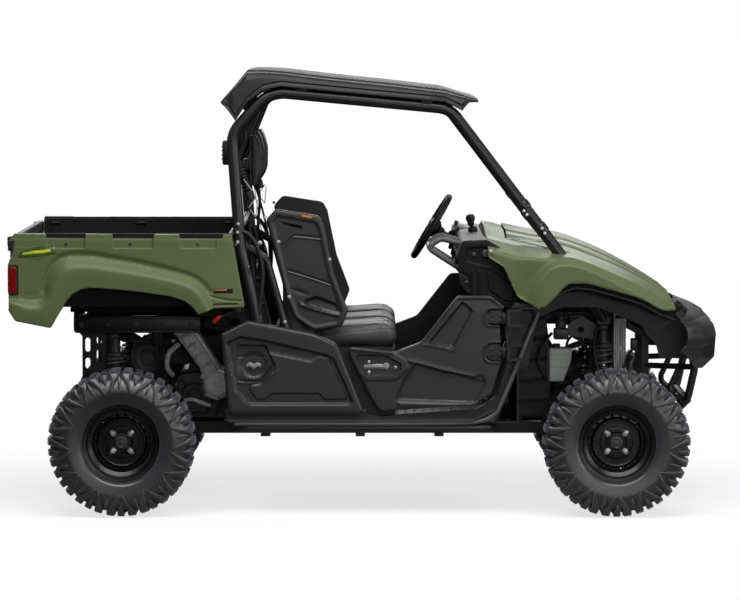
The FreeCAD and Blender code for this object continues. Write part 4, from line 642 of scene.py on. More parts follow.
def tyre(name, centre, width, outward):
    """A smooth carcass with lugs, which lean the other way on each half."""
    half = width / 2
    skin = [(0.62 * half, 152.5), (0.645 * half, 168), (0.82 * half, 170.5), (0.88 * half, 175),
            (0.918 * half, 186), (0.932 * half, 197), (0.95 * half, 206), (0.97 * half, 222),
            (0.975 * half, 230), (0.955 * half, 238), (0.915 * half, 250), (0.865 * half, 262),
            (0.81 * half, 272), (0.74 * half, 282), (0.65 * half, 289), (0.54 * half, 295),
            (0.45 * half, 298), (0.2 * half, 301)]
    profile = [(-a, r) for a, r in skin] + [(a, r) for a, r in reversed(skin)]
    shape = Shape().lathe(profile + [profile[0]], centre, (0, 1, 0), 144)
    pitch = 2 * math.pi / LUG_PAIRS
    for side in (1, -1):
        for k in range(LUG_PAIRS):
            for lug in LUGS:
                rows = []
                for t, left, right, height in lug:
                    place_at, radius = carcass(t, half)
                    ahead, lower = carcass(min(t + 0.04, 1.0), half)
                    behind, upper = carcass(max(t - 0.04, 0.0), half)
                    along = Vector((ahead - behind, lower - upper)).normalized()
                    out = Vector((-along.y, along.x))
                    row = []
                    narrow = min(0.024, (right - left) * 0.26)
                    for share, lift in ((left - 0.01, -LUG_FOOT), (left + narrow * 0.4, height * 0.85),
                                        (left + narrow * 1.3, height), (right - narrow * 1.3, height),
                                        (right - narrow * 0.4, height * 0.85), (right + 0.01, -LUG_FOOT)):
                        angle = (k + share) * pitch * side
                        r = min(radius + out.y * lift, TYRE_REACH)
                        a = side * (place_at + out.x * lift)
                        row.append((centre[0] + r * math.sin(angle), centre[1] + a * outward,
                                    centre[2] + r * math.cos(angle)))
                    rows.append(row)
                shape.grid(rows, caps=True)
    shape.piece(f"rubber_{name}", rubber, f"wheel_{name}", replaces=(f"tyre_{name}",), sharp=38)


def rim(name, centre, width, outward):
    """A pressed steel wheel with vents, four nuts and a centre cap."""
    half = width / 2 * 0.62
    disc = half - 62
    axis = (0, outward, 0)
    steel = Shape()
    barrel = [(-half - 4.5, 167), (-half - 2, 167.4), (-half, 165.5), (-half, 153.5), (-half + 11, 152.3),
              (-half + 30, 130.6), (half - 30, 130.6), (half - 11, 152.3), (half - 0.3, 153.5),
              (half - 0.3, 165), (half + 1.4, 167.3), (half + 4, 167), (half + 5, 165), (half + 3.2, 160),
              (half + 1, 150.5), (half - 5, 147.6), (half - 12, 146.5), (half - 20, 140), (half - 28, 127),
              (half - 36, 125.6), (disc + 8, 125.4), (disc - 8, 125), (-half + 26, 125.6),
              (-half + 14, 138), (-half + 4, 147.5), (-half - 3, 150), (-half - 4.5, 158), (-half - 4.5, 167)]
    steel.lathe(barrel, centre, axis, 96)
    vents = 20
    per = 12
    angles = [2 * math.pi * k / (vents * per) for k in range(vents * per)]
    disc_profile = [(disc - 12, 125.6), (disc - 11, 124.5), (disc - 9, 122.8)]
    ring_in = [(disc - 6.5, 109.4), (disc - 3, 107), (disc + 2.6, 103.2), (disc + 3.4, 101), (disc + 2.2, 99),
               (disc, 97), (disc - 0.4, 84), (disc + 0.2, 72), (disc + 3.4, 68), (disc + 4.2, 62),
               (disc + 4, 48), (disc + 1, 43), (disc, 40.5), (disc, 0)]
    centre_v = Vector(centre)
    side = Vector((1, 0, 0))
    up = Vector((0, 0, 1))
    ax = Vector(axis)

    def point(along, radius, angle):
        return centre_v + ax * along + (side * math.cos(angle) + up * math.sin(angle)) * radius

    for profile in (disc_profile, ring_in):
        steel.grid([[point(a, r, angle) for a, r in profile] for angle in angles], closed_rows=True)
    # The band that holds the vents is filled between each hole's edge and the rings beside it
    hole_r, circle = 5.4, 116.0
    for k in range(vents):
        middle = 2 * math.pi * (k + 0.5) / vents
        span = [2 * math.pi * (k * per + j) / (vents * per) for j in range(per + 1)]
        outer_edge = [point(*disc_profile[-1], angle) for angle in span]
        inner_edge = [point(*ring_in[0], angle) for angle in span]
        left = [outer_edge[0].lerp(inner_edge[0], s / 4) for s in range(1, 4)]
        right = [outer_edge[-1].lerp(inner_edge[-1], s / 4) for s in range(1, 4)]
        loop = outer_edge + right + inner_edge[::-1] + left[::-1]
        hub = point(disc - 7.8, circle, middle)
        out = (side * math.cos(middle) + up * math.sin(middle))
        across = ax.cross(out)
        hole = []
        deep = []
        for corner in loop:
            ray = corner - hub
            angle = math.atan2(ray.dot(across), ray.dot(out))
            spoke = out * math.cos(angle) + across * math.sin(angle)
            hole.append(hub + spoke * hole_r)
            deep.append(hub + spoke * (hole_r - 0.6) - ax * 6)
        steel.grid([loop + loop[:1], hole + hole[:1], deep + deep[:1]])
    steel.piece(f"steel_{name}", rim_paint, f"wheel_{name}", replaces=(f"rim_{name}",), sharp=30)
    hub = Shape()
    hub.lathe([(disc - 2, 39), (disc + 1, 39), (disc + 2, 37.5), (disc + 14, 31), (disc + 17, 29.5),
               (disc + 22, 28.6), (disc + 26, 26), (disc + 28, 22), (disc + 28, 19), (disc + 26.4, 17),
               (disc + 26, 12), (disc + 27.2, 9), (disc + 27.6, 0)], centre, axis, 48)
    inner = -52.0
    hub.lathe([(inner, 0), (inner, 31), (inner + 8, 31), (inner + 8, 104), (inner + 10.5, 105),
               (inner + 13, 104), (inner + 13, 60), (inner + 14, 31.5), (disc - 12, 31.5), (disc - 6, 60),
               (disc - 6, 0)],
              centre, axis, 48)
    hub.piece(f"hub_{name}", dark_casting, f"wheel_{name}")
    nuts = Shape()
    for k in range(4):
        angle = math.pi / 2 * (k + 0.5)
        at = point(disc, 55, angle)
        nuts.lathe([(0, 0), (0, 15), (3, 15), (4, 12.5), (4.2, 11)], at, axis, 24)
        nuts.lathe([(4, 11.2), (15, 11.2), (17.2, 9.2), (18, 6), (18, 0)], at, axis, 6)
        nuts.lathe([(17, 6.4), (26, 6.4), (27, 5.4), (27, 0)], at, axis, 16)
    nuts.piece(f"nuts_{name}", bright, f"wheel_{name}", sharp=30)


for end, axle, reach, width in (("front", FRONT_AXLE, 682.5, 205), ("rear", REAR_AXLE, 657.5, 255)):
    for name, side in reversed(SIDES):
        centre = (axle, side * reach, AXLE_HEIGHT)
        tyre(f"{end}_{name}", centre, width, side)
        rim(f"{end}_{name}", centre, width, side)


# Moulded side panels

DOOR = [(-84, 736, 20), (129, 714, 60), (243, 757, 60), (399, 957, 30), (539, 957, 30), (600, 912, 15),
        (580, 828, 15), (588, 672, 30), (546, 532, 40), (470, 487, 50), (65, 458, 30), (30, 510, 20),
        (0, 567, 20)]


def door(name, side):
    """A half door's skin with its hinge straps, latch and bolts."""
    panel = Panel(DOOR, 6.0, 7.0)
    panel.form(lambda x, z: -3.0 * ease((z - 880) / 90))
    # The lower field lies back, under a crease that runs to the front
    panel.tilted([(120, 500, 10), (475, 488, 25), (528, 585, 25), (505, 622, 25), (470, 612, 20),
                  (330, 640, 40), (215, 672, 20), (165, 600, 40)], (150, 650), (480, 600), -17, -12, 14)
    panel.fold([(150, 489), (430, 484, 40), (486, 494)], 13, 5.0)
    panel.fold([(187, 678), (333, 640, 60), (505, 596)], 12, 4.0)
    # The tall pocket below the handle edge
    panel.tilted([(418, 936, 8), (468, 893, 12), (383, 729, 10), (265, 750, 10)], (268, 750), (440, 920),
                 -20, -19, 11)
    panel.fold([(-70, 730), (100, 712, 60), (245, 763, 60), (396, 950, 20), (539, 950, 20), (596, 905)], 13,
               3.2)
    panel.fold([(250, 745), (300, 740, 20), (383, 720, 14), (478, 894)], 9, 2.0)
    # The latch lies in a round-edged boss
    panel.area([(-84, 740, 20), (94, 734, 30), (182, 681, 25), (190, 641, 25), (139, 590, 25), (5, 586, 20),
                (-30, 614, 15)], 4.5, 8)
    panel.area([(-41, 707, 12), (92, 701, 30), (160, 664, 18), (158, 636, 18), (122, 611, 18), (10, 607, 14),
                (-20, 636, 12)], -15, 8)
    # Straps of the hinges lie in deep rounded slots
    for z0, z1 in ((829, 900), (672, 754)):
        panel.area([(520, z0, 30), (520, z1, 30), (640, z1), (640, z0)], -10, 7)
        panel.fold([(640, z1 + 3), (519, z1 + 3, 30), (510, (z0 + z1) / 2, 10), (519, z0 - 3, 30),
                    (640, z0 - 3)], 7, 2.4)
    panel.piece(f"skin_{name}", dark_plastic, f"door_{name}", side, 727.5, 692, replaces=(f"door_{name}",))
    trim = Shape()
    for z in (715, 861):
        trim.prism([(524, z - 20), (518, z - 12), (518, z + 12), (524, z + 20), (604, z + 20), (604, z - 20)],
                   side * 716, side * 733)
        trim.lathe([(-24, 0), (-24, 11), (24, 11), (24, 0)], (614, side * 745, z), (0, 0, 1), 24)
        trim.block((586, side * 731, z - 24), (614, side * 741, z + 24), 2)
        for x in (546, 582):
            for dz in (-11, 11):
                trim.lathe([(0, 6.4), (3, 6.2), (5, 4.2), (5.6, 0)], (x, side * 732.5, z + dz),
                           (0, side, 0), 16)
    trim.piece(f"straps_{name}", powder, f"door_{name}")
    latch = Shape()
    handle = curve([(-4, 650), (40, 652), (74, 652), (98, 647)], 12)
    rows = []
    for i, (x, z) in enumerate(handle):
        tall = 8 + 2.5 * i / 11
        lift = 6 + 5 * math.sin(math.pi * i / 14)
        rows.append([(x, side * (713 + lift * share), z + dz) for share, dz in (
            (0, tall), (0.8, tall), (1, tall * 0.6), (1, -tall * 0.6), (0.8, -tall), (0, -tall))])
    latch.grid(rows, closed_columns=True, caps=True)
    latch.lathe([(0, 13), (12, 13), (14, 11), (14.5, 0)], (92, side * 711, 655), (0, side, 0), 24)
    latch.piece(f"handle_{name}", brushed, f"door_{name}")
    bolts = Shape()
    for x, z in ((18, 671), (18, 627), (132, 647)):
        bolts.lathe([(-2, 0), (-2, 8), (2, 8), (4, 6), (5, 3), (4, 2.6), (4, 0)], (x, side * 713.5, z),
                    (0, side, 0), 20)
    bolts.piece(f"bolts_{name}", bright, f"door_{name}")


for name, side in SIDES:
    door(name, side)


COVER = [(-618, 793, 10), (-504, 849, 25), (-219, 793, 25), (-128, 752, 20), (-112, 734, 15), (0, 446, 20),
         (-588, 446, 25), (-618, 771, 10)]


def side_cover(name, side):
    """The cover beside the seat box, with a turning cap in its round recess."""
    panel = Panel(COVER, 6.5, 13.0)
    # Inside the broad border the face lies back
    panel.area([(-600, 757, 16), (-537, 786, 20), (-438, 771, 14), (-160, 706, 14), (-130, 690, 14),
                (-45, 496, 14), (-66, 482, 16), (-500, 482, 20), (-560, 540, 30)], -17, 13)
    panel.area([(-418, 726, 10), (-404, 708, 10), (-236, 674, 10), (-198, 697, 12), (-152, 686, 10),
                (-72, 508, 10), (-176, 506, 6), (-198, 532, 6), (-404, 532, 6), (-424, 508, 6),
                (-468, 506, 10), (-510, 570, 20), (-450, 576, 10), (-383, 640, 20)], 6.0, 6)
    panel.area([(-556, 748, 14), (-425, 746, 14), (-383, 655, 14), (-442, 577, 14), (-545, 582, 14)], -14, 9)
    panel.area([(-552, 690), (-425, 690), (-400, 654, 10), (-448, 588, 10), (-540, 590, 8)], 6, 5)
    panel.form(lambda x, z: -9 * ease((58 - np.hypot(x + 479.0, z - 657.0)) / 10))
    panel.fold([(-404, 708), (-236, 674, 10), (-198, 697, 10), (-150, 687)], 6, 2.4)
    panel.fold([(-545, 580), (-447, 576, 10), (-375, 632)], 6, 2.0)
    panel.piece(f"cover_{name}", dark_plastic, "chassis", side, 729.5, 686,
                replaces=shared(side, "side_covers"))
    pull = Shape()
    rows = []
    for i, (x, z) in enumerate(curve([(-510, 652), (-495, 660), (-480, 650), (-462, 658), (-447, 653)], 14)):
        tall = 7 + 5 * math.sin(math.pi * i / 13)
        rows.append([(x, side * (699 + 8 * share), z + dz) for share, dz in (
            (0, tall), (0.8, tall * 0.9), (1, tall * 0.3), (0.8, -tall * 0.8), (0, -tall))])
    pull.grid(rows, closed_columns=True, caps=True)
    pull.piece(f"cap_{name}", brushed, "chassis")


for name, side in SIDES:
    side_cover(name, side)


GUARD = [(-427, 1278, 25), (-385, 1325, 25), (-199, 1296, 30), (-177, 1257, 20), (-134, 1049, 60),
         (-72, 885, 30), (-100, 815, 25), (-221, 797, 40), (-306, 855, 40), (-342, 949, 60), (-385, 1128, 40)]


def shoulder_guard(name, side):
    """The tall moulding beside the outer seat's back."""
    panel = Panel(GUARD, 5.5, 11.0)
    panel.area([(-405, 1272, 20), (-377, 1302, 20), (-212, 1274, 25), (-194, 1245, 15), (-152, 1046, 50),
                (-94, 885, 25), (-115, 830, 22), (-219, 812, 35), (-294, 862, 35), (-328, 952, 50),
                (-370, 1128, 35)], -5.0, 12)
    panel.area([(-376, 1275, 8), (-262, 1252, 8), (-276, 1236, 8), (-350, 1256, 10)], -18, 8)
    panel.fold([(-350, 1168), (-305, 1211, 12), (-190, 1199)], 5.5, -3.0)
    panel.fold([(-350, 1162), (-303, 1205, 12), (-190, 1193)], 5, 1.8)
    panel.fold([(-330, 1060), (-232, 1030, 60), (-149, 1001)], 5.5, -3.2)
    panel.fold([(-330, 1054), (-232, 1024, 60), (-149, 995)], 5, 1.8)
    panel.tilted([(-290, 925, 25), (-210, 952, 20), (-120, 918, 14), (-104, 882, 14), (-128, 862, 14),
                  (-222, 892, 20)], (-200, 950), (-180, 870), -20, -6, 14)
    panel.fold([(-275, 913), (-222, 893, 40), (-116, 868)], 12, 6)
    panel.form(lambda x, z: -5 * ease(1 - np.hypot((x + 280) / 55, (z - 967 - (x + 280) * -0.25) / 14)))
    panel.piece(f"guard_{name}", dark_plastic, "chassis", side, 649, 606,
                replaces=shared(side, "shoulder_guards"))
    bolts = Shape()
    for x, z in ((-152, 1108), (-327, 947), (-345, 838), (-372, 1184)):
        bolts.lathe([(-3, 0), (-3, 7.5), (2, 7.5), (4, 6), (5, 0)], (x, side * 646, z), (0, side, 0), 20)
    bolts.piece(f"guard_bolts_{name}", bright, "chassis")
    label = Shape().prism([(-272, 1293), (-271, 1303), (-228, 1295), (-229, 1285)], side * 649.3,
                          side * 650.2)
    label.piece(f"tag_{name}", orange_film, "chassis")


for name, side in SIDES:
    shoulder_guard(name, side)


JAMB = [(-600, 402, 10), (-600, 465), (6, 465), (14, 440, 10), (70, 438, 10), (484, 467, 40), (566, 522, 30),
        (607, 668, 30), (599, 826, 20), (629, 907, 10), (640, 925), (738, 925), (746, 884, 20),
        (569, 456, 60), (462, 402, 60)]


def jamb(name, side):
    """The sill and post that the door closes against."""
    panel = Panel(JAMB, 8.0, 5.0)
    panel.fold([(740, 880), (562, 458, 60), (460, 412, 50), (-590, 412)], 11, 5)
    panel.area([(600, 640, 20), (612, 900, 10), (730, 900, 20), (722, 850, 20), (640, 650, 20)], -6, 9)
    panel.area([(60, 452, 8), (478, 482, 40), (560, 540, 30), (548, 540, 30), (470, 490, 40), (60, 456)],
               -5, 5)
    panel.piece(f"jamb_{name}", black_plastic, "chassis", side, 706, 684,
                replaces=shared(side, "door_jambs"))


for name, side in SIDES:
    jamb(name, side)


BED = [(-1508, 1200), (-1504, 1224, 3), (-1370, 1223, 3), (-1366, 1204), (-1203, 1203), (-1197, 1222, 3),
       (-1085, 1221, 3), (-1081, 1203), (-910, 1202), (-903, 1221, 3), (-797, 1220, 3), (-793, 1202),
       (-639, 1201), (-612, 1201), (-608, 1219, 3), (-571, 1219, 4), (-567, 1194), (-517, 914, 12),
       (-520, 907, 4), (-643, 903, 10), (-714, 878, 3), (-735, 907, 30), (-771, 936, 40), (-835, 957, 60),
       (-955, 975), (-1098, 989), (-1176, 994, 60), (-1219, 985, 40), (-1254, 964, 50), (-1283, 928, 60),
       (-1319, 871), (-1347, 821, 3), (-1497, 850, 20), (-1528, 899, 25), (-1528, 942), (-1531, 1092, 10),
       (-1510, 1135, 15)]
FLARE = [
    ((-1526, 946), (-1526, 903)), ((-1495, 946), (-1495, 852)), ((-1389, 948), (-1350, 824)),
    ((-1365, 1010), (-1320, 871)), ((-1346, 1064), (-1284, 928)), ((-1310, 1106), (-1255, 964)),
    ((-1253, 1124), (-1220, 985)), ((-1161, 1121), (-1177, 994)), ((-1060, 1104), (-1098, 989)),
    ((-955, 1085), (-955, 975)), ((-778, 1042), (-835, 957)), ((-707, 1006), (-771, 936)),
    ((-664, 950), (-735, 907)), ((-646, 908), (-714, 878)),
]


def swell(x, z):
    """The wheel arch: a hollow above it, a round crest, and a face down to its lip."""
    points = np.column_stack([x, z])
    base = curve([pair[0] for pair in FLARE], 90)
    lip = curve([pair[1] for pair in FLARE], 90)
    region = np.vstack([base, lip[::-1] + (0, -12)])
    inside = depth(points, region) > -0.5
    from_base = distance(points, base, False)
    from_lip = distance(points, lip, False)
    share = from_base / (from_base + from_lip + 1e-6)
    rise = 36 * ease(np.clip(share / 0.42, 0, 1) ** 0.8) - 3.0 * ease((share - 0.5) / 0.5)
    hollow = -7.0 * ease(1 - np.abs(from_base - 9) / 22)
    fade = ease((z - 955) / 25)
    return np.where(inside, rise, np.where(points[:, 0] > -1500, hollow * fade, 0.0))


BED_FACE = 734


def bed_form():
    """The outer face of the bed's side, which the films on it follow too."""
    panel = Panel(BED, 6.0, 4.0)
    panel.form(swell)
    for x0, x1 in ((-1362, -1203), (-1078, -910), (-790, -639)):
        panel.area([(x0 - 3, 1157), (x0 - 10, 1230), (x1 + 10, 1230), (x1 + 3, 1157)], -9, 6)
    panel.form(lambda x, z: -2.0 * ease((z - 1196) / 10) + 4.0 * ease((1140 - z) / 190) - 2.0)
    panel.area([(-1530, 1168), (-1470, 1172), (-1370, 1140, 20), (-1354, 1124, 20), (-1389, 1110),
                (-1530, 1130)],
               1.5, 6)
    panel.area([(-660, 924, 8), (-540, 930, 8), (-548, 912, 4), (-650, 910, 4)], -7, 6)
    panel.fold([(-665, 955), (-600, 938, 20), (-534, 934)], 7, -4)
    return panel


def bed_side(name, side):
    """A side of the bed with its bolts."""
    bed_form().piece(f"bed_panel_{name}", olive, "cargo_bed", side, BED_FACE, 698,
                     replaces=shared(side, "bed_sides"))
    bolts = Shape()
    for x, z in ((-1281, 1182), (-1005, 1181), (-716, 1180)):
        bolts.lathe([(-3, 0), (-3, 7), (0.6, 7), (1.8, 5.4), (2.4, 0)], (x, side * 725, z), (0, side, 0), 20)
    bolts.lathe([(-2, 0), (-2, 8), (2, 8), (4, 6), (4.6, 0)], (-552, side * 733, 1178), (0, side, 0), 20)
    bolts.piece(f"bed_bolts_{name}", dark_casting, "cargo_bed")


for name, side in SIDES:
    bed_side(name, side)


# Shells made of rows of points

def resampled(line, count):
    """A line as a fixed number of points at even distances along it."""
    line = np.array(line, float)
    steps = np.concatenate([[0], np.cumsum(np.linalg.norm(np.diff(line, axis=0), axis=1))])
    at = np.linspace(0, steps[-1], count)
    return np.column_stack([np.interp(at, steps, line[:, k]) for k in range(line.shape[1])])


def normals(grid):
    """The direction across a grid of points, at each of them."""
    normal = np.cross(np.gradient(grid, axis=0), np.gradient(grid, axis=1))
    return normal / np.maximum(np.linalg.norm(normal, axis=2), 1e-9)[..., None]


def shell(grid, wall, flip=False):
    """A sheet with a wall: its outer face is the grid, its inner face lies a wall away."""
    shape = Shape()
    normal = normals(grid) * (-1 if flip else 1)
    inner = grid - normal * wall
    rim = grid.copy()
    soft = wall * 0.3
    outer = grid.copy()
    for edge, inward in (((0, slice(None)), (1, slice(None))), ((-1, slice(None)), (-2, slice(None))),
                         ((slice(None), 0), (slice(None), 1)), ((slice(None), -1), (slice(None), -2))):
        rim[edge] = grid[edge] - normal[edge] * soft
        toward = grid[inward] - grid[edge]
        length = np.maximum(np.linalg.norm(toward, axis=-1), 1e-9)[..., None]
        outer[edge] = outer[edge] + toward / length * np.minimum(soft, length * 0.5)
    count, wide = grid.shape[:2]
    shape.grid([list(row) for row in outer])
    shape.grid([list(row) for row in inner])

    def border(source):
        top = [source[0, j] for j in range(wide)]
        right = [source[i, -1] for i in range(1, count)]
        bottom = [source[-1, j] for j in range(wide - 2, -1, -1)]
        left = [source[i, 0] for i in range(count - 2, 0, -1)]
        return top + right + bottom + left

    shape.grid([border(outer), border(rim), border(inner)], closed_columns=True)
    return shape


def table(rows, at, smooth=True):
    """A table read at given values of its first column, between its rows."""
    rows = np.array(rows, float)
    if smooth:
        rows = curve(rows, (len(rows) - 1) * 16 + 1)
    return np.column_stack([at] + [np.interp(at, rows[:, 0], rows[:, k]) for k in range(1, rows.shape[1])])


# Wings, cowl, hood, nose and roof

SHEET = 5.0
# Where the wings meet the cowl
SEAM = 425
# Rows of (x, height at the hood, then across and height of the shoulder, of the edge and of the lip)
FENDER = [
    (530, 1205, 560, 1195, 700, 1150, 712, 1120), (600, 1190, 560, 1178, 702, 1135, 716, 1075),
    (655, 1180, 560, 1165, 705, 1120, 720, 950), (700, 1180, 560, 1163, 712, 1118, 748, 925),
    (746, 1176, 562, 1158, 722, 1114, 768, 900), (800, 1172, 565, 1152, 728, 1117, 774, 938),
    (860, 1160, 568, 1143, 732, 1122, 775, 1000), (900, 1148, 570, 1134, 735, 1118, 775, 1012),
    (970, 1122, 572, 1110, 735, 1094, 775, 1006), (1090, 1074, 572, 1063, 730, 1042, 775, 973),
    (1185, 1027, 568, 1018, 715, 996, 762, 943), (1268, 977, 560, 969, 690, 948, 735, 897),
    (1335, 932, 545, 925, 655, 910, 690, 888),
]
FLARE_CREASE = [(620, 880), (675, 940), (705, 1001), (741, 1055), (777, 1092), (819, 1112), (860, 1118),
                (927, 1108), (1029, 1068), (1149, 1008), (1246, 955), (1330, 905)]
# Rows of (x, height in the middle, height at the wings)
HOOD = [(621, 1216, 1186), (740, 1192, 1172), (855, 1180, 1155), (960, 1146, 1121), (1066, 1101, 1085),
        (1155, 1055, 1041), (1250, 1000, 985), (1338, 944, 930)]


def wing(name, side):
    """A front wing with its wheel arch, the lining under the arch and its screws."""
    stations = np.concatenate([np.linspace(530, 640, 14), np.linspace(646, 900, 48),
                               np.linspace(912, 1335, 40)])
    straight = table(FENDER, stations, smooth=False)
    soft = table(FENDER, stations)
    crease = curve(FLARE_CREASE, 80)
    below = np.vstack([crease, [(1400, 700), (620, 700)]])
    rows = []
    for flat, smooth in zip(straight, soft):
        x, z0, y1, z1, y2, z2, y3, z3 = smooth
        z3 = flat[7] if x < 760 else z3
        heights = np.linspace(z2 - 16, z3 + 10, 40)
        points = np.column_stack([np.full(len(heights), x), heights])
        # The arch stands out from the panel below and in front of its crease
        past = distance(points, crease, False) * np.where(depth(points, below) > 0, 1, -1)
        sides = y2 + 2 + (y3 - y2 - 2) * ease((past + 4) / 36)
        line = [(SEAM, z0), (436, z0 + 4 * ease((x - 700) / 80), 6), (450, z0 - 3, 8), (y1, z1, 40),
                (y2, z2, 20)]
        line += list(zip(sides, heights)) + [(y3 - 1.5, z3, 3), (y3 - 16, z3 + 1, 4), (y3 - 34, z3 + 16, 8),
                                             (640, z3 + 20)]
        section = resampled(rounded(line, 4.0, closed=False), 92)
        rows.append([(x, side * y, z) for y, z in section])
    grid = np.array(rows)
    # A ridge runs outwards from the cowl to the foot of the pillar, with a dip outside it
    ridge = np.array([(530, 330), (580, 352), (645, 430), (717, 505), (803, 575), (880, 600)], float)
    flat = grid[:, :, :2].reshape(-1, 2) * (1, side)
    away = distance(flat, ridge, False).reshape(grid.shape[:2])
    grid[:, :, 2] += 4.0 * ease(1 - away / 18)
    shell(grid, SHEET, flip=side < 0).piece(f"wing_{name}", olive, "chassis",
                                            replaces=shared(side, "front_fenders"))
    under = []
    for x in np.linspace(830, 1330, 40):
        lip, low = table(FENDER, np.array([x]))[0][6:8]
        hang = 34 * float(ease((x - 830) / 50) * ease((1334 - x) / 120))
        under.append([(x, side * y, z) for y, z in ((lip - 12, low + 8), (lip - 17, low - hang * 0.5),
                                                    (lip - 30, low - hang), (lip - 110, low - hang * 0.7))])
    shell(np.array(under), 3.0, flip=side > 0).piece(f"arch_lining_{name}", bed_plastic, "chassis")
    screws = Shape()
    for x, y, z in ((750, 741, 942), (541, 714, 1150), (990, 770, 1030)):
        screws.lathe([(-4, 0), (-4, 8), (2, 8), (4, 6), (5, 0)], (x, side * y, z), (0, side, 0.1), 16)
    screws.piece(f"wing_screws_{name}", bright, "chassis")


for name, side in SIDES:
    wing(name, side)


def cowl():
    """The crowned sheet between the hood and the dash."""
    rows = []
    for x, edge, crown in ((522, 1150, 1196), (523, 1190, 1222), (527, 1202, 1229), (534, 1204, 1231),
                           (560, 1198, 1226), (590, 1192, 1219), (608, 1188, 1213), (614, 1186, 1211)):
        line = [(-SEAM, edge), (-300, edge + (crown - edge) * 0.62, 80), (-200, crown, 90), (200, crown, 90),
                (300, edge + (crown - edge) * 0.62, 80), (SEAM, edge)]
        rows.append([(x, y, z) for y, z in resampled(rounded(line, 12.0, closed=False), 60)])
    shell(np.array(rows), SHEET).piece("cowl", olive, "chassis")


cowl()


def hood():
    """The hood with the arms and pins that it lifts on."""
    rows = []
    for x, crown, edge in table(HOOD, np.linspace(621, 1338, 56)):
        fall = crown - edge
        half = [(419, edge), (410, edge + 3, 5), (392, edge + 0.5, 10), (349, edge + fall * 0.55, 30),
                (262, crown - 7, 26), (235, crown + 3, 22), (150, crown + 1, 40)]
        line = half + [(-y, z, *r) for y, z, *r in reversed(half)]
        rows.append([(x, y, z) for y, z in resampled(rounded(line, 8.0, closed=False), 110)])
    shape = shell(np.array(rows), SHEET, flip=True)
    for side in (-1, 1):
        shape.prism([(1290, 967), (1326, 944), (1340, 900), (1336, 889), (1325, 887), (1320, 892),
                     (1286, 930)],
                    side * 276, side * 300)
        shape.lathe([(-12, 7), (-12, 11), (12, 11), (12, 7)], (1330, side * 288, 898), (0, 1, 0), 24)
    shape.piece("hood_skin", olive, "hood", replaces=("hood",))


hood()

# Rows of (across, then x and height of six corners from the top down)
NOSE = [(0, 1372, 906, 1458, 872, 1538, 826, 1549, 786, 1546, 672, 1498, 622),
        (350, 1371, 895, 1450, 856, 1528, 812, 1540, 772, 1534, 668, 1484, 618),
        (560, 1352, 885, 1412, 856, 1484, 812, 1496, 760, 1486, 676, 1440, 640),
        (660, 1338, 874, 1372, 852, 1416, 812, 1420, 768, 1410, 716, 1392, 700),
        (690, 1335, 868, 1356, 846, 1384, 806, 1388, 770, 1380, 728, 1368, 716)]


def nose():
    """The front's moulding with its slats, and the ears that carry the hood's pins."""
    rows = []
    for y in np.linspace(-690, 690, 93):
        values = table(NOSE, np.array([abs(y)]))[0][1:]
        radii = (0, 22, 14, 14, 14, 0)
        line = [(values[2 * k], values[2 * k + 1], radii[k]) for k in range(6)]
        section = resampled(rounded(line, 6.0, closed=False), 60)
        rows.append([(x, y, z) for x, z in section])
    grid = np.array(rows)
    lateral = np.abs(grid[:, :, 1])
    height = grid[:, :, 2]
    # The middle of the nose lies back between two cheeks, and slats cross it
    middle = ease((395 - lateral) / 26) * ease((height - 668) / 18) * ease((846 - height) / 18)
    grid[:, :, 0] -= 16 * middle
    slats = 7 * np.maximum(0, np.sin((height - 672) / 168 * math.pi * 2 * 5)) ** 2
    grid[:, :, 0] += slats * middle
    # Low on each cheek the face steps back
    step = ease((742 - height) / 14) * ease((lateral - 410) / 30)
    grid[:, :, 0] -= 12 * step
    groove = ease(1 - np.abs(height - 838) / 7) * ease((lateral - 405) / 20)
    grid[:, :, 0] -= 6 * groove
    shape = shell(grid, 6.0)
    for side in (-1, 1):
        shape.prism([(1196, 905), (1344, 906), (1440, 852), (1505, 790), (1505, 700), (1430, 648),
                     (1300, 652), (1282, 716), (1240, 756), (1204, 836)], side * 304, side * 324)
        shape.lathe([(0, 0), (0, 6), (54, 6), (54, 0)], (1330, side * 270, 898), (0, side, 0), 24)
    shape.piece("nose_skin", dark_plastic, "chassis", replaces=("front_fascia",))


nose()

# Rows of (x, height of the edge, of the shoulder and of the top)
ROOF = [(-617, 1785, 1791, 1796), (-556, 1706, 1848, 1864), (-506, 1784, 1908, 1925),
        (-440, 1836, 1910, 1925), (-362, 1853, 1906, 1920), (-133, 1831, 1878, 1893),
        (114, 1808, 1853, 1868), (344, 1787, 1826, 1841), (418, 1749, 1806, 1819), (445, 1788, 1801, 1810),
        (488, 1789, 1795, 1800)]


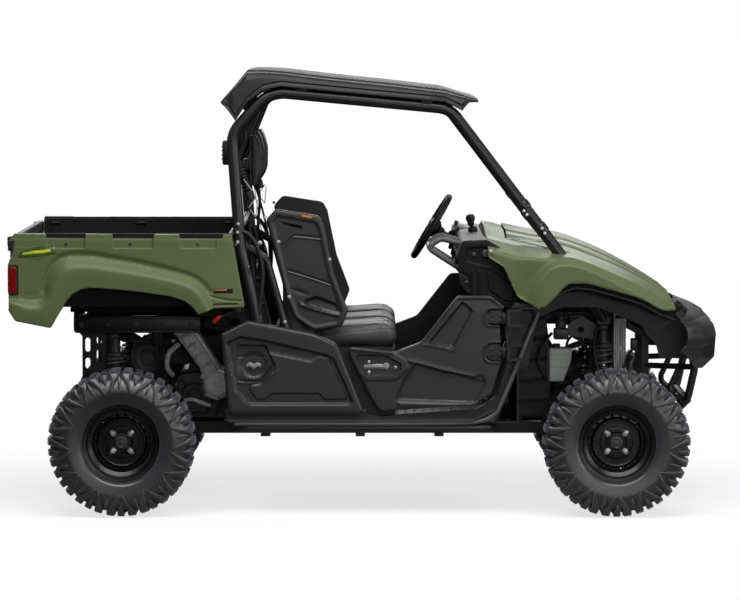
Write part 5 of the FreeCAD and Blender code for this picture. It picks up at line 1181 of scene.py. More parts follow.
def roof():
    """The roof with three ribs and the feet that sit on the cage."""
    stations = np.unique(np.concatenate([np.linspace(-617, -430, 26), np.linspace(-430, 400, 60),
                                         np.linspace(400, 488, 16), [row[0] for row in ROOF]]))
    rows = []
    for x, edge, shoulder, top in table(ROOF, stations, smooth=False):
        half = 676 - 26 * float(ease(max(-x - 560, x - 450) / 40))
        tall = shoulder - edge
        share = min(1.0, tall / 45)
        right = [(half, edge), (half - 1, edge + 10 * share, 3), (half - 8, edge + 15 * share, 3),
                 (half - 9, edge + 20 * share, 3), (half - 3, edge + 25 * share, 3),
                 (half - 9, edge + 0.8 * tall, 8), (half - 26, shoulder + 1, 16), (half - 92, top - 10, 30),
                 (half - 108, top - 2, 12), (half - 150, top - 1, 14), (half - 170, top - 7, 14),
                 (300, top - 5, 30), (262, top, 20)]
        line = right + [(-y, z, *r) for y, z, *r in reversed(right)]
        rows.append([(x, y, z) for y, z in resampled(rounded(line, 5.0, closed=False), 190)])
    grid = np.array(rows)
    along = grid[:, :, 0]
    for middle in (120, 0, -120):
        rib = ease(1 - np.abs(grid[:, :, 1] - middle) / 22)
        rib = rib * ease((along + 470) / 60) * ease((380 - along) / 60)
        grid[:, :, 2] -= 4 * rib
    shape = shell(grid, SHEET, flip=True)
    for x, height in ((-300, 1889), (240, 1832)):
        for side in (-1, 1):
            shape.block((x, side * 640 - 23, height - 62), (x + 50, side * 640 + 23, height + 2), 4)
    shape.piece("roof_skin", roof_plastic, "chassis", replaces=("roof",))


roof()


# Bed: films, lamps, tub and tailgate

def film(name, panel, rows, finish, side, lift):
    """A thin film that follows the face of the bed's side, from rows of points in X and Z."""
    wide, tall = 14, 7
    rows = [resampled(row, wide) for row in rows]
    flat = np.vstack([rows[0] + (rows[-1] - rows[0]) * share for share in np.linspace(0, 1, tall)])
    up = panel.height(flat)
    grid = np.array([(x, side * (BED_FACE + rise + lift), z) for (x, z), rise in zip(flat, up)])
    grid = grid.reshape(tall, wide, 3)
    facing = float(np.cross(grid[1, 0] - grid[0, 0], grid[0, 1] - grid[0, 0])[1]) * side > 0
    shell(grid, 1.2, flip=not facing).piece(name, finish, "cargo_bed", sharp=60)


def bed_details():
    """Films, lamps, levers, skirts and hooks on the bed's sides."""
    panel = bed_form()
    for name, side in SIDES:
        stripes = (((-1478, 1146), (-1440, 1166), (-1380, 1176), (-1332, 1180)),
                   ((-1486, 1120), (-1440, 1122), (-1380, 1126), (-1318, 1140)))
        film(f"bed_swoosh_{name}", panel, stripes, dark_olive, side, 0.4)
        film(f"bed_stripe_{name}", panel, (((-1464, 1142), (-1420, 1150), (-1380, 1154), (-1350, 1158)),
                                          ((-1468, 1133), (-1424, 1138), (-1380, 1141), (-1346, 1146))),
             lime_film, side, 1.0)
        film(f"bed_label_{name}", panel, (((-646, 988), (-566, 988)), ((-646, 968), (-566, 968))),
             bed_plastic, side, 0.5)
        film(f"bed_label_band_{name}", panel, (((-642, 985), (-592, 985)), ((-642, 979), (-592, 979))),
             orange_film, side, 0.9)
        lamp = Shape()
        outline = rounded([(-1531.5, 966, 8), (-1491, 966, 10), (-1491, 1084, 10), (-1531.5, 1084, 8)], 8.0)
        rows = []
        for y, inward in ((689, 0), (731, 0), (736, 1.5), (738.5, 5)):
            rows.append([(x, side * y, z) for x, z in inset(outline, inward)])
        lamp.grid(rows, closed_columns=True, caps=True)
        for z in (1004, 1044):
            lamp.tube([(-1532, side * 700, z), (-1532, side * 728, z)], 1.6, 8)
        lamp.piece(f"lamp_lens_{name}", red_lens, "cargo_bed", replaces=shared(side, "tail_lamps"))
        bezel = Shape().plate([(-1529, 960, 8), (-1485, 960, 8), (-1485, 1090, 8), (-1529, 1090, 8)],
                              [[(-1524, 970, 6), (-1496, 970, 6), (-1496, 1080, 6), (-1524, 1080, 6)]],
                              side * 733, side * 737.2)
        bezel.piece(f"lamp_bezel_{name}", black_plastic, "cargo_bed")
        lever = Shape()
        lever.tube(curve([(-618, side * 704, 868), (-632, side * 706, 858), (-650, side * 704, 842)], 12),
                   lambda t: 7 + 4 * t, 14)
        lever.piece(f"bed_lever_{name}", red_plastic, "cargo_bed")
        rod = Shape().tube([(-622, side * 700, 864), (-545, side * 690, 893)], 3.2, 8)
        rod.block((-560, side * 700, 884), (-534, side * 664, 904), 3)
        rod.piece(f"bed_lever_rod_{name}", dark_casting, "cargo_bed")
        skirt = Shape().prism(rounded([(-748, 906, 6), (-704, 866, 20), (-610, 852, 12), (-532, 852, 12),
                                       (-522, 906, 6)], 12.0), side * 622, side * 640)
        skirt.piece(f"bed_skirt_{name}", bed_plastic, "cargo_bed")
        hook = Shape().block((-1529, side * 728, 1150), (-1507, side * 741, 1196), 4)
        hook.tube([(-1518, side * 741, 1186), (-1500, side * 741, 1192)], 4, 10)
        hook.piece(f"gate_hook_{name}", black_plastic, "cargo_bed")


def tub_details():
    """Ribs inside the bed and a rail along its rim."""
    ribs = Shape()
    for y in np.linspace(-600, 600, 13):
        ribs.block((-1480, y - 16, 917), (-592, y + 16, 924), 2.5)
    for x in np.linspace(-1440, -640, 9):
        for side in (-1, 1):
            ribs.block((x - 9, side * 662, 930), (x + 9, side * 672, 1180), 3)
    for y in np.linspace(-560, 560, 9):
        ribs.block((-592, y - 9, 930), (-584, y + 9, 1180), 3)
    ribs.piece("bed_ribs", bed_plastic, "cargo_bed")
    rail = Shape()
    for side in (-1, 1):
        rail.tube([(-1496, side * 686, 1214), (-580, side * 686, 1214)], 9.0, 12)
        for x in (-1450, -1050, -640):
            rail.tube(curve([(x - 22, side * 660, 1180), (x - 18, side * 648, 1196),
                             (x + 18, side * 648, 1196), (x + 22, side * 660, 1180)], 14), 3.5, 8)
            rail.block((x - 30, side * 656, 1168), (x + 30, side * 666, 1190), 3)
    rail.tube([(-583, -650, 1210), (-583, 650, 1210)], 9.0, 12)
    rail.piece("bed_rail", powder, "cargo_bed")


def tailgate():
    """The tailgate's skin, its lining, handle, hinges and bolts."""
    gate = Panel([(-649, 952, 10), (649, 952, 10), (649, 1206, 16), (-649, 1206, 16)], 8.0, 5.0)
    beads = (1030, 1075, 1120)
    for low, high, heights in ((-600, -215, beads), (-185, 185, ()), (215, 600, beads)):
        gate.area([(low, 985, 20), (high, 985, 20), (high, 1165, 20), (low, 1165, 20)], -7, 10)
        for z in heights:
            gate.fold([(low + 40, z), (high - 40, z)], 9, 4)
    gate.area([(-120, 1120, 12), (120, 1120, 12), (120, 1180, 12), (-120, 1180, 12)], -4, 6)
    gate.piece("gate_skin", olive, "tailgate", 1, 1529, 1506, replaces=("tailgate",),
               turn=lambda u, w, v: (-w, u, v))
    lining = Panel([(-640, 944, 10), (640, 944, 10), (640, 1204, 10), (-640, 1204, 10)], 10.0, 4.0)
    for y in (-480, -240, 0, 240, 480):
        lining.fold([(y, 985), (y, 1165)], 14, 3)
    lining.piece("gate_lining", bed_plastic, "tailgate", 1, 6, 2, turn=lambda u, w, v: (w - 1511, -u, v))
    trim = Shape()
    trim.block((-1528, -640, 1196), (-1506, 640, 1207), 4)
    trim.tube(curve([(-1524, -90, 1150), (-1537, -84, 1150), (-1538, 0, 1150), (-1537, 84, 1150),
                     (-1524, 90, 1150)],
                    24), 6, 10)
    for y in (-430, 430):
        trim.lathe([(-30, 6), (-30, 11), (30, 11), (30, 6)], (-1518, y, 936), (0, 1, 0), 24)
        trim.block((-1528, y - 28, 936), (-1508, y + 28, 968), 3)
    for side in (-1, 1):
        trim.block((-1544, side * 590 - 28, 1162), (-1528, side * 590 + 28, 1204), 5)
        trim.nut((-1528, side * 630, 1010), (-1, 0, 0), 7, 6)
        trim.nut((-1528, side * 630, 1100), (-1, 0, 0), 7, 6)
    trim.piece("gate_trim", black_plastic, "tailgate")


bed_details()
tub_details()
tailgate()


# Padded pieces, blown up as cloth and then sewn

def coordinates(mesh):
    """The places of a mesh's points, in metres."""
    values = np.empty(3 * len(mesh.vertices))
    mesh.vertices.foreach_get("co", values)
    return values.reshape(-1, 3)


def evaluated(obj):
    """An object's mesh with its modifiers applied."""
    graph = bpy.context.evaluated_depsgraph_get()
    return bpy.data.meshes.new_from_object(obj.evaluated_get(graph))


def vertex_normals(mesh):
    """The direction outwards at each of a mesh's points."""
    return np.array([tuple(vertex.normal) for vertex in mesh.vertices])


CLOTH_FRAMES = 20


def inflated(shape, voxel, cap):
    """A closed form remeshed, swollen by cloth under pressure and smoothed once. Returns its mesh."""
    mesh = bpy.data.meshes.new("pad")
    mesh.from_pydata([tuple(MM * value for value in vertex) for vertex in shape.vertices], [], shape.faces)
    weld(mesh)
    pad = bpy.data.objects.new("pad", mesh)
    bpy.context.scene.collection.objects.link(pad)
    remesh = pad.modifiers.new("remesh", "REMESH")
    remesh.mode = "VOXEL"
    remesh.voxel_size = voxel * MM
    even = evaluated(pad)
    pad.modifiers.clear()
    pad.data = even
    start = coordinates(even)
    cloth = pad.modifiers.new("cloth", "CLOTH")
    cloth.settings.use_pressure = True
    cloth.settings.uniform_pressure_force = 4.0
    cloth.settings.effector_weights.gravity = 0.0
    cloth.point_cache.frame_start = 1
    cloth.point_cache.frame_end = CLOTH_FRAMES
    for frame_number in range(1, CLOTH_FRAMES + 1):
        bpy.context.scene.frame_set(frame_number)
    moved = coordinates(evaluated(pad))
    pad.modifiers.clear()
    bpy.context.scene.frame_set(1)
    step = moved - start
    length = np.linalg.norm(step, axis=1)
    step *= (np.minimum(length, cap * MM) / np.maximum(length, 1e-9))[:, None]
    even.vertices.foreach_set("co", (start + step).ravel())
    even.update()
    divide = pad.modifiers.new("divide", "SUBSURF")
    divide.levels = 1
    fine = evaluated(pad)
    bpy.data.objects.remove(pad)
    return fine


def pad_form(outline, low, high, edge):
    """A form with a side outline between two planes, drawn in at both sides."""
    line = rounded(outline, 9.0)
    half = (high - low) / 2
    rows = []
    for share in np.sin(np.linspace(-math.pi / 2, math.pi / 2, 41)):
        near = half * (1 - abs(share))
        drawn = edge * (1 - math.sqrt(max(0.0, 1 - (1 - min(near / edge, 1)) ** 2)))
        inward = inset(line, drawn) if drawn > 0.01 else line
        y = (low + high) / 2 + share * half
        rows.append([(x, y, z) for x, z in inward])
    return Shape().grid(rows, closed_columns=True, caps=True)


def stitched(mesh, lines, flat, width=7.0, depth_mm=3.5, facing=None):
    """Presses channels into a mesh along lines drawn in a plane of two axes."""
    points = coordinates(mesh) / MM
    direction = vertex_normals(mesh)
    plane = points[:, flat]
    for line in lines:
        press = ease(1 - distance(plane, np.array(line, float), False) / width)
        if facing is not None:
            press *= ease((direction @ np.array(facing)) / 0.5)
        points = points - direction * (press * depth_mm)[:, None]
    mesh.vertices.foreach_set("co", (points * MM).ravel())
    mesh.update()


# Where a stitch starts and ends, as shares of the way between two marks
STITCH = (0.15, 0.8)


def thread(mesh, lines, make_ray, spacing=7.0):
    """Short stitches that lie on a mesh along lines."""
    tree = BVHTree.FromPolygons([vertex.co for vertex in mesh.vertices],
                                [p.vertices[:] for p in mesh.polygons])
    shape = Shape()
    for line in lines:
        line = np.array(line, float)
        length = float(np.sum(np.linalg.norm(np.diff(line, axis=0), axis=1)))
        marks = resampled(line, max(2, int(length / spacing)))
        for here, there in zip(marks[:-1], marks[1:]):
            ends = []
            for share in STITCH:
                origin, direction = make_ray(here + (there - here) * share)
                hit = tree.ray_cast(Vector(origin) * MM, Vector(direction))[0]
                if hit:
                    ends.append(hit / MM - Vector(direction) * 0.5)
            if len(ends) == 2 and (ends[1] - ends[0]).length < 2 * spacing:
                shape.tube(ends, 0.75, 5)
    return shape


def merged(name, meshes, finish, replaced):
    """One padded piece of several meshes, which replaces a node."""
    shape = Shape()
    for mesh in meshes:
        points = coordinates(mesh) / MM
        shape.add(points, [polygon.vertices[:] for polygon in mesh.polygons])
    obj = shape.piece(name, finish, "chassis", replaces=(replaced,), sharp=0)


def shifted(mesh, move, stretch=1.0):
    """A copy of a mesh, stretched and moved across."""
    copy = mesh.copy()
    points = coordinates(copy)
    points[:, 1] = points[:, 1] * stretch + move * MM
    copy.vertices.foreach_set("co", points.ravel())
    copy.update()
    return copy


CUSHION = [(-206, 733, 16), (-206, 790, 24), (-118, 803, 50), (84, 816, 60), (146, 806, 34), (152, 752, 24),
           (134, 733, 14)]
BACK = [(-334, 734, 12), (-236, 734, 14), (-231, 832, 30), (-192, 884, 40), (-256, 1196, 34),
        (-285, 1222, 18), (-326, 1214, 18), (-347, 1118, 20), (-344, 884, 30)]
# For each seat, where its middle lies and its width as a share of the outer seats' width
SEATS = ((-397.0, 1.0), (0.0, 370 / 400), (397.0, 1.0))
# The top of the seat box, and how far a pad reaches to each side of its middle, in metres
SEAT_BOX_TOP = 0.7262
SEAT_REACH = 0.1995


def upholster(name, pad, lines, flat, facing, make_ray, thread_name, replaced):
    """Keeps a pad to its place, sews it along lines and sets it with its thread on each seat."""
    points = coordinates(pad)
    points[:, 2] = np.maximum(points[:, 2], SEAT_BOX_TOP)
    points[:, 1] = np.clip(points[:, 1], -SEAT_REACH, SEAT_REACH)
    pad.vertices.foreach_set("co", points.ravel())
    pad.update()
    stitched(pad, lines, flat, 8.0, 4.5, facing)
    sewing = thread(pad, lines, make_ray)
    merged(name, [shifted(pad, y, stretch) for y, stretch in SEATS], vinyl, replaced)
    stitches = Shape()
    for y, stretch in SEATS:
        stitches.add([(a, b * stretch + y, c) for a, b, c in sewing.vertices], sewing.faces)
    stitches.piece(thread_name, sewing_thread, "chassis")


def seats():
    """The cushions and backrests of the three seats."""
    seams = [rounded([(-196, side * 118), (-60, side * 104, 60), (50, side * 66, 60), (98, side * 20, 40),
                      (104, 0)],
                     9.0, closed=False) for side in (1, -1)]
    border = rounded([(-190, -172), (120, -170, 40), (146, -140, 40), (146, 140, 40), (120, 170, 40),
                      (-190, 172)],
                     9.0, closed=False)
    front = rounded([(62, -168), (84, -90, 60), (88, 0, 60), (84, 90, 60), (62, 168)], 9.0, closed=False)
    upholster("cushions", inflated(pad_form(CUSHION, -192, 192, 34), 11.0, 13.0), seams + [border, front],
              [0, 1], (0, 0, 1), lambda p: ((p[0], p[1], 900), (0, 0, -1)), "cushion_thread", "seat_cushions")

    lines = [rounded([(side * 120, 800), (side * 112, 980, 60), (side * 92, 1120, 40),
                      (side * 60, 1150, 30), (0, 1150)],
                     9.0, closed=False) for side in (1, -1)]
    lines += [rounded([(side * 172, 780), (side * 170, 1150, 40), (side * 130, 1196, 30), (0, 1200)], 9.0,
                      closed=False) for side in (1, -1)]
    lines.append(np.array([(-112, 985), (112, 985)], float))
    upholster("backrests", inflated(pad_form(BACK, -190, 190, 36), 11.5, 13.0), lines,
              [1, 2], (1, 0, 0), lambda p: ((100, p[0], p[1]), (-1, 0, 0)), "backrest_thread", "seat_backs")


seats()

PAD = [(-491, 1414, 10), (-474, 1412, 10), (-455, 1470, 20), (-454, 1560, 30), (-477, 1647, 10),
       (-494, 1642, 10)]


def head_pads():
    """The three head cushions with their holders."""
    pad = inflated(pad_form(PAD, -118, 118, 16), 8.0, 5.0)
    line = rounded([(-104, 1430, 20), (104, 1430, 20), (104, 1632, 24), (-104, 1632, 24)], 8.0)
    line = np.vstack([line, line[:1]])
    stitched(pad, [line], [1, 2], 6.0, 3.0, (1, 0, 0))
    merged("head_cushions", [shifted(pad, y) for y, _ in SEATS], dark_vinyl, "head_pads")
    holders = Shape()
    for y, _ in SEATS:
        holders.prism([(-499, 1420), (-491, 1418), (-492, 1640), (-500, 1636)], y - 96, y + 96)
        holders.block((-541, y - 20, 1480), (-492, y + 20, 1520), 5)
        for z in (1452, 1600):
            holders.nut((-498, y, z), (-1, 0, 0), 7, 6)
    holders.piece("head_holders", powder, "chassis")


head_pads()


# Springs, engine and cooling

def coil(shape, foot, head, radius, wire, turns):
    """A spring between two points, its end turns closer together."""
    foot, head = Vector(foot), Vector(head)
    along = head - foot
    side = along.orthogonal().normalized()
    other = along.normalized().cross(side)
    per_turn = 20
    count = turns * per_turn
    line = []
    for i in range(count + 1):
        rise = float(np.interp(i / count, (0, 0.13, 0.87, 1), (0, 0.05, 0.95, 1)))
        angle = 2 * math.pi * turns * i / count
        line.append(foot + along * rise + (side * math.cos(angle) + other * math.sin(angle)) * radius)
    shape.tube(line, wire, 8)


def shock(corner, x, side, foot_z, head_z):
    """A damper with its spring and rod, between the lower arm and the frame."""
    foot, head = Vector((x - 42, side * 480, foot_z)), Vector((x - 42, side * 455, head_z))
    long = (head - foot).length
    axis = (head - foot).normalized()
    body = Shape()
    body.lathe([(10, 0), (10, 15), (36, 20), (42, 22), (42, 39), (49, 40), (51, 37), (51, 27), (70, 27),
                (71, 25), (168, 25), (171, 22), (173, 12), (173, 0)], foot, axis, 32)
    body.lathe([(long - 150, 0), (long - 150, 13), (long - 140, 17), (long - 96, 19), (long - 90, 37),
                (long - 82, 39), (long - 76, 38), (long - 70, 24), (long - 34, 19), (long - 12, 15),
                (long - 12, 0)],
               foot, axis, 32)
    for end in (foot, head):
        body.lathe([(-17, 0), (-17, 15), (-14, 17), (14, 17), (17, 15), (17, 0)], end, (1, 0, 0), 28)
        body.nut(end - Vector((17, 0, 0)), (-1, 0, 0), 10, 9)
    end = corner.split("_")[0]
    body.piece(f"damper_{corner}", dark_casting, "chassis", replaces=shared(side, f"{end}_shocks"))
    coils = Shape()
    coil(coils, foot + axis * 54, foot + axis * (long - 96), 32, 5.6, 7)
    # The spring is black. Its grey stands in for its highlights: painted highlight.
    coils.piece(f"spring_{corner}", highlight_grey_paint, "chassis", sharp=0)
    rod = Shape().lathe([(165, 0), (165, 8), (long - 130, 8), (long - 130, 0)], foot, axis, 20)
    rod.lathe([(122, 25.2), (123, 26.4), (126, 26.4), (127, 25.2)], foot, axis, 32)
    rod.piece(f"rod_{corner}", bright, "chassis")


for name, side in SIDES:
    shock(f"front_{name}", FRONT_AXLE, side, 459, 799)
    shock(f"rear_{name}", REAR_AXLE, side, 456, 760)


def crankcase():
    """A case with a finned, leaning cylinder."""
    case = Shape()
    lower = rounded([(-842, 372, 26), (-474, 362, 26), (-452, 430, 20), (-458, 556, 24), (-540, 588, 20),
                     (-838, 570, 40)], 14.0)
    rows = [[(x, y, z) for x, z in inset(lower, inward)] for y, inward in
            ((-190, 8), (-183, 2), (-176, 0), (-30, 0), (-28, 4), (-22, 4), (-20, 0), (176, 0), (183, 2),
             (190, 8))]
    case.grid(rows, closed_columns=True, caps=True)
    for k in range(9):
        shift = k * 17.0
        fin = [(-790 + shift * 0.3, 584 + shift), (-560 + shift * 0.22, 584 + shift),
               (-560 + shift * 0.22, 592 + shift), (-790 + shift * 0.3, 592 + shift)]
        case.prism(rounded(fin, 40.0), -138, 138)
    case.prism(rounded([(-772, 570, 10), (-578, 570, 10), (-556, 737, 20), (-730, 737, 20)], 14.0), -126, 126)
    case.prism(rounded([(-760, 716, 10), (-548, 716, 10), (-560, 737, 10), (-742, 737, 10)], 14.0), -134, 134)
    for x in np.linspace(-820, -490, 10):
        case.block((x - 4, -188, 366), (x + 4, -60, 380), 2)
    case.piece("crankcase", dark_casting, "chassis", replaces=("engine",))


def side_casting():
    """The ribbed casting on the engine's right side."""
    cover = Panel([(-852, 764, 16), (-744, 767, 16), (-644, 610, 20), (-606, 520, 20), (-650, 455, 14),
                   (-700, 470, 10), (-733, 600, 10)], 7.0, 8.0)
    cover.area([(-835, 748, 12), (-752, 750, 12), (-660, 608, 16), (-628, 522, 12), (-655, 478, 10),
                (-690, 490, 8), (-722, 606, 10)], -7, 6)
    for k in range(5):
        x, z = -812 + 32 * k, 744 - 42 * k
        cover.fold([(x - 22, z - 26), (x + 30, z + 12)], 6, 7)
    cover.area([(-800, 700, 20), (-764, 720, 20), (-740, 690, 20), (-770, 664, 20)], 8, 7)
    cover.piece("side_cover_casting", casting, "chassis", -1, 258, 176)


def pulley():
    """A pulley outside its ribbed housing."""
    boss = Shape()
    hub = (-654, 0, 532)
    boss.lathe([(176, 0), (176, 74), (226, 72), (240, 64), (258, 60), (262, 54), (262, 46), (256, 44),
                (256, 0)],
               hub, (0, -1, 0), 48)
    for k in range(12):
        angle = 2 * math.pi * k / 12
        out = Vector((math.cos(angle), 0, math.sin(angle)))
        start = Vector(hub) + Vector((0, -226, 0)) + out * 50
        boss.tube([start, start + out * 32 + Vector((0, 34, 0))], 3.2, 6)
    boss.piece("pulley_housing", casting, "chassis")
    wheel = Shape()
    wheel.lathe([(262, 0), (262, 41), (266, 47), (270, 47), (272, 40), (276, 38), (280, 47), (285, 48),
                 (288, 46), (288, 34), (282, 30), (282, 16), (286, 14), (300, 13), (303, 10), (303, 0)],
                hub, (0, -1, 0), 56)
    for k in range(6):
        angle = 2 * math.pi * k / 6
        at = (hub[0] + 23 * math.cos(angle), -281, hub[2] + 23 * math.sin(angle))
        wheel.nut(at, (0, -1, 0), 4.2, 6)
    wheel.nut((hub[0], -300, hub[2]), (0, -1, 0), 9, 10)
    wheel.piece("pulley", pale_alloy, "chassis")


def engine_fittings():
    """Bolts, pipes, hoses, small castings, the intake and a screen around the engine."""
    bolts = Shape()
    for x, z in ((-838, 754), (-756, 756), (-700, 668), (-650, 606), (-616, 520), (-652, 468), (-704, 480),
                 (-724, 560), (-744, 626), (-792, 700), (-850, 720)):
        bolts.nut((x, -256, z), (0, -1, 0), 6, 8)
    for x, z in ((-820, 392), (-720, 384), (-610, 380), (-490, 384), (-470, 520), (-836, 520)):
        bolts.nut((x, -188, z), (0, -1, 0), 7, 8)
    bolts.piece("engine_bolts", bright, "chassis")
    pipe = Shape()
    pipe.tube(curve([(-800, -215, 452), (-770, -232, 458), (-730, -232, 446), (-690, -215, 430)], 24), 9, 12)
    pipe.tube(curve([(-860, -150, 560), (-880, -200, 600), (-872, -216, 660), (-830, -180, 700)], 24), 12, 12)
    pipe.piece("engine_pipes", bright_alloy, "chassis")
    hoses = Shape()
    for line, radius in (
            ([(-540, -120, 690), (-470, -170, 660), (-440, -180, 560), (-430, -160, 440)], 15),
            ([(-560, -60, 724), (-500, -90, 760), (-440, -60, 740), (-425, 40, 640)], 17),
            ([(-820, -170, 420), (-870, -205, 470), (-890, -190, 560), (-930, -160, 600)], 11),
            ([(-700, -140, 737), (-710, -210, 790), (-640, -260, 800), (-560, -280, 760),
              (-500, -280, 640)], 8),
            ([(-860, -240, 740), (-900, -262, 700), (-905, -262, 600), (-880, -240, 520)], 7),
            ([(-690, 60, 738), (-780, 90, 800), (-900, 60, 800), (-980, 0, 760)], 24)):
        hoses.tube(curve(line, 30), radius, 12)
    hoses.piece("engine_hoses", grip_rubber, "chassis", sharp=0)
    starter = Shape()
    starter.lathe([(-60, 0), (-60, 30), (-54, 34), (40, 34), (44, 30), (60, 30), (62, 24), (62, 0)],
                  (-520, -190, 470), (0, 1, 0), 32)
    starter.lathe([(0, 0), (0, 32), (4, 36), (62, 36), (68, 30), (70, 20), (72, 0)], (-560, -188, 400),
                  (0, -1, 0), 36)
    starter.lathe([(0, 0), (0, 26), (30, 26), (32, 22), (32, 0)], (-500, -140, 640), (0, -1, 0), 28)
    starter.piece("engine_auxiliaries", dark_casting, "chassis")
    intake = Shape()
    intake.prism(rounded([(-918, 610, 16), (-776, 600, 16), (-772, 788, 20), (-905, 800, 24)], 14.0), -96, 96)
    for x in (-900, -872, -844, -816):
        intake.block((x, -104, 680), (x + 8, 104, 782), 3)
    intake.tube(curve([(-780, 40, 730), (-740, 50, 742), (-700, 60, 736)], 14), 22, 16)
    intake.piece("intake_box", black_plastic, "chassis")
    screen = Panel([(-716, 790, 14), (-690, 862, 16), (-560, 866, 16), (-540, 800, 14), (-600, 776, 20)],
                   7.0, 8.0)
    screen.area([(-690, 800, 10), (-675, 846, 10), (-575, 848, 10), (-565, 806, 10), (-606, 792, 12)], -5, 6)
    screen.piece("bay_screen", black_plastic, "chassis", -1, 414, 402)


crankcase()
side_casting()
pulley()
engine_fittings()


def silencer():
    """Bands, end rings and a guard of bars on the silencer."""
    middle_x, middle_z = -965, 640
    shape = Shape()
    for y in (-205, -120, 120, 205):
        shape.lathe([(-9, 71), (-9, 75), (-5, 76.5), (5, 76.5), (9, 75), (9, 71)], (middle_x, y, middle_z),
                    (0, 1, 0), 48)
    for side in (-1, 1):
        shape.lathe([(226, 40), (236, 52), (236, 44), (230, 30)], (middle_x, 0, middle_z), (0, side, 0), 40)
    shape.piece("silencer_bands", dark_casting, "chassis")
    guard = Shape()
    for k in range(9):
        angle = math.radians(-50 + 20 * k)
        x = middle_x + 80 * math.cos(angle + math.pi / 2)
        z = middle_z + 80 * math.sin(angle + math.pi / 2)
        guard.tube([(x, -190, z), (x, 190, z)], 3.0, 6)
    guard.piece("silencer_guard", frame_paint, "chassis")


silencer()


def radiator():
    """The radiator's side bar, fins and fan."""
    bar = Shape()
    bar.prism(rounded([(1099, 574, 6), (1145, 574, 6), (1145, 846, 10), (1099, 846, 10)], 12.0), -359, -330)
    for x in (1106, 1116, 1128, 1138):
        bar.prism(rounded([(x - 2.5, 590, 2), (x + 2.5, 590, 2), (x + 2.5, 830, 2), (x - 2.5, 830, 2)],
                          20.0), -362, -356)
    for z in (600, 700, 820):
        bar.nut((1122, -359, z), (0, -1, 0), 6, 5)
    bar.piece("radiator_bar", pale_alloy, "chassis")
    core = Shape()
    for z in np.linspace(590, 832, 32):
        core.block((1098, -318, z - 1.6), (1147, 318, z + 1.6), 0.8)
    core.piece("radiator_fins", bright_alloy, "chassis", sharp=0)
    fan = Shape()
    fan.lathe([(0, 150), (0, 160), (-40, 160), (-40, 156), (-6, 150)], (1096, 0, 715), (1, 0, 0), 48)
    fan.lathe([(-44, 0), (-44, 38), (-8, 42), (-4, 40), (-4, 0)], (1096, 0, 715), (1, 0, 0), 32)
    for k in range(9):
        angle = 2 * math.pi * k / 9
        rows = []
        for share in (0, 0.5, 1):
            reach = 36 + 110 * share
            twist = angle + 0.25 * share
            out = Vector((0, math.cos(twist), math.sin(twist)))
            across = Vector((0, -math.sin(twist), math.cos(twist)))
            at = Vector((1074, 0, 715)) + out * reach
            wide = 16 + 14 * share
            rows.append([at + across * wide + Vector((8, 0, 0)), at - across * wide - Vector((8, 0, 0)),
                         at - across * wide - Vector((11, 0, 0)), at + across * wide + Vector((5, 0, 0))])
        fan.grid(rows, closed_columns=True, caps=True)
    fan.piece("radiator_fan", black_plastic, "chassis")


def coolant():
    """The coolant tank, its cap and the hoses between the radiator and the engine."""
    tank = Panel([(808, 700, 10), (911, 700, 10), (905, 640, 30), (872, 552, 12), (808, 552, 12)], 6.0, 9.0)
    tank.fold([(812, 668), (905, 668)], 5, -3)
    tank.fold([(812, 612), (892, 612)], 5, -2)
    tank.area([(822, 655, 8), (893, 655, 8), (886, 624, 8), (822, 624, 8)], -3, 6)
    tank.piece("tank_body", tank_plastic, "chassis", -1, 390, 300, replaces=("coolant_tank",))
    small = Shape()
    small.lathe([(0, 0), (0, 17), (4, 18), (16, 18), (19, 15), (19, 0)], (842, -345, 698), (0, 0, 1), 28)
    small.tube(curve([(885, -345, 698), (900, -345, 740), (960, -340, 790), (1060, -345, 820),
                      (1110, -345, 832)], 36),
               6, 10)
    small.tube(curve([(820, -330, 560), (790, -300, 500), (800, -200, 440), (860, -120, 420)], 30), 6, 10)
    small.tube(curve([(1080, -300, 600), (1000, -290, 560), (900, -240, 520), (790, -200, 470),
                      (660, -160, 430)], 40),
               16, 14)
    small.tube(curve([(1090, -280, 800), (1010, -250, 730), (900, -250, 690), (780, -230, 600),
                      (690, -200, 480)], 40),
               13, 14)
    small.tube(curve([(760, -420, 1080), (800, -400, 980), (860, -420, 900), (960, -440, 870),
                      (1043, -455, 850)], 36),
               7, 10)
    small.tube(curve([(700, -380, 1100), (740, -330, 960), (820, -300, 860), (900, -290, 800)], 30), 9, 10)
    small.piece("cooling_hoses", grip_rubber, "chassis", sharp=0)


def steering_motor():
    """The motor that helps the driver steer, with its plugs."""
    motor = Shape()
    motor.lathe([(178, 0), (178, 40), (188, 45), (196, 45), (198, 42), (262, 42), (266, 45), (276, 45),
                 (280, 42), (300, 40), (308, 30), (310, 12), (314, 10), (314, 0)], (945, 0, 773),
                (0, -1, 0), 40)
    for k in range(4):
        angle = math.pi / 2 * k + 0.5
        motor.nut((945 + 36 * math.cos(angle), -299, 773 + 36 * math.sin(angle)), (0, -1, 0), 5, 6)
    motor.block((902, -262, 800), (990, -190, 838), 5)
    motor.block((985, -300, 748), (1012, -230, 800), 4)
    motor.piece("steering_motor", dark_casting, "chassis")


radiator()
coolant()
steering_motor()


# The bed's hinge: its axis, its pin's radius and the inner face of the ears
PIVOT_X, PIVOT_Z = -1250, 878
PIN = 9.0
EAR_IN = 421.0


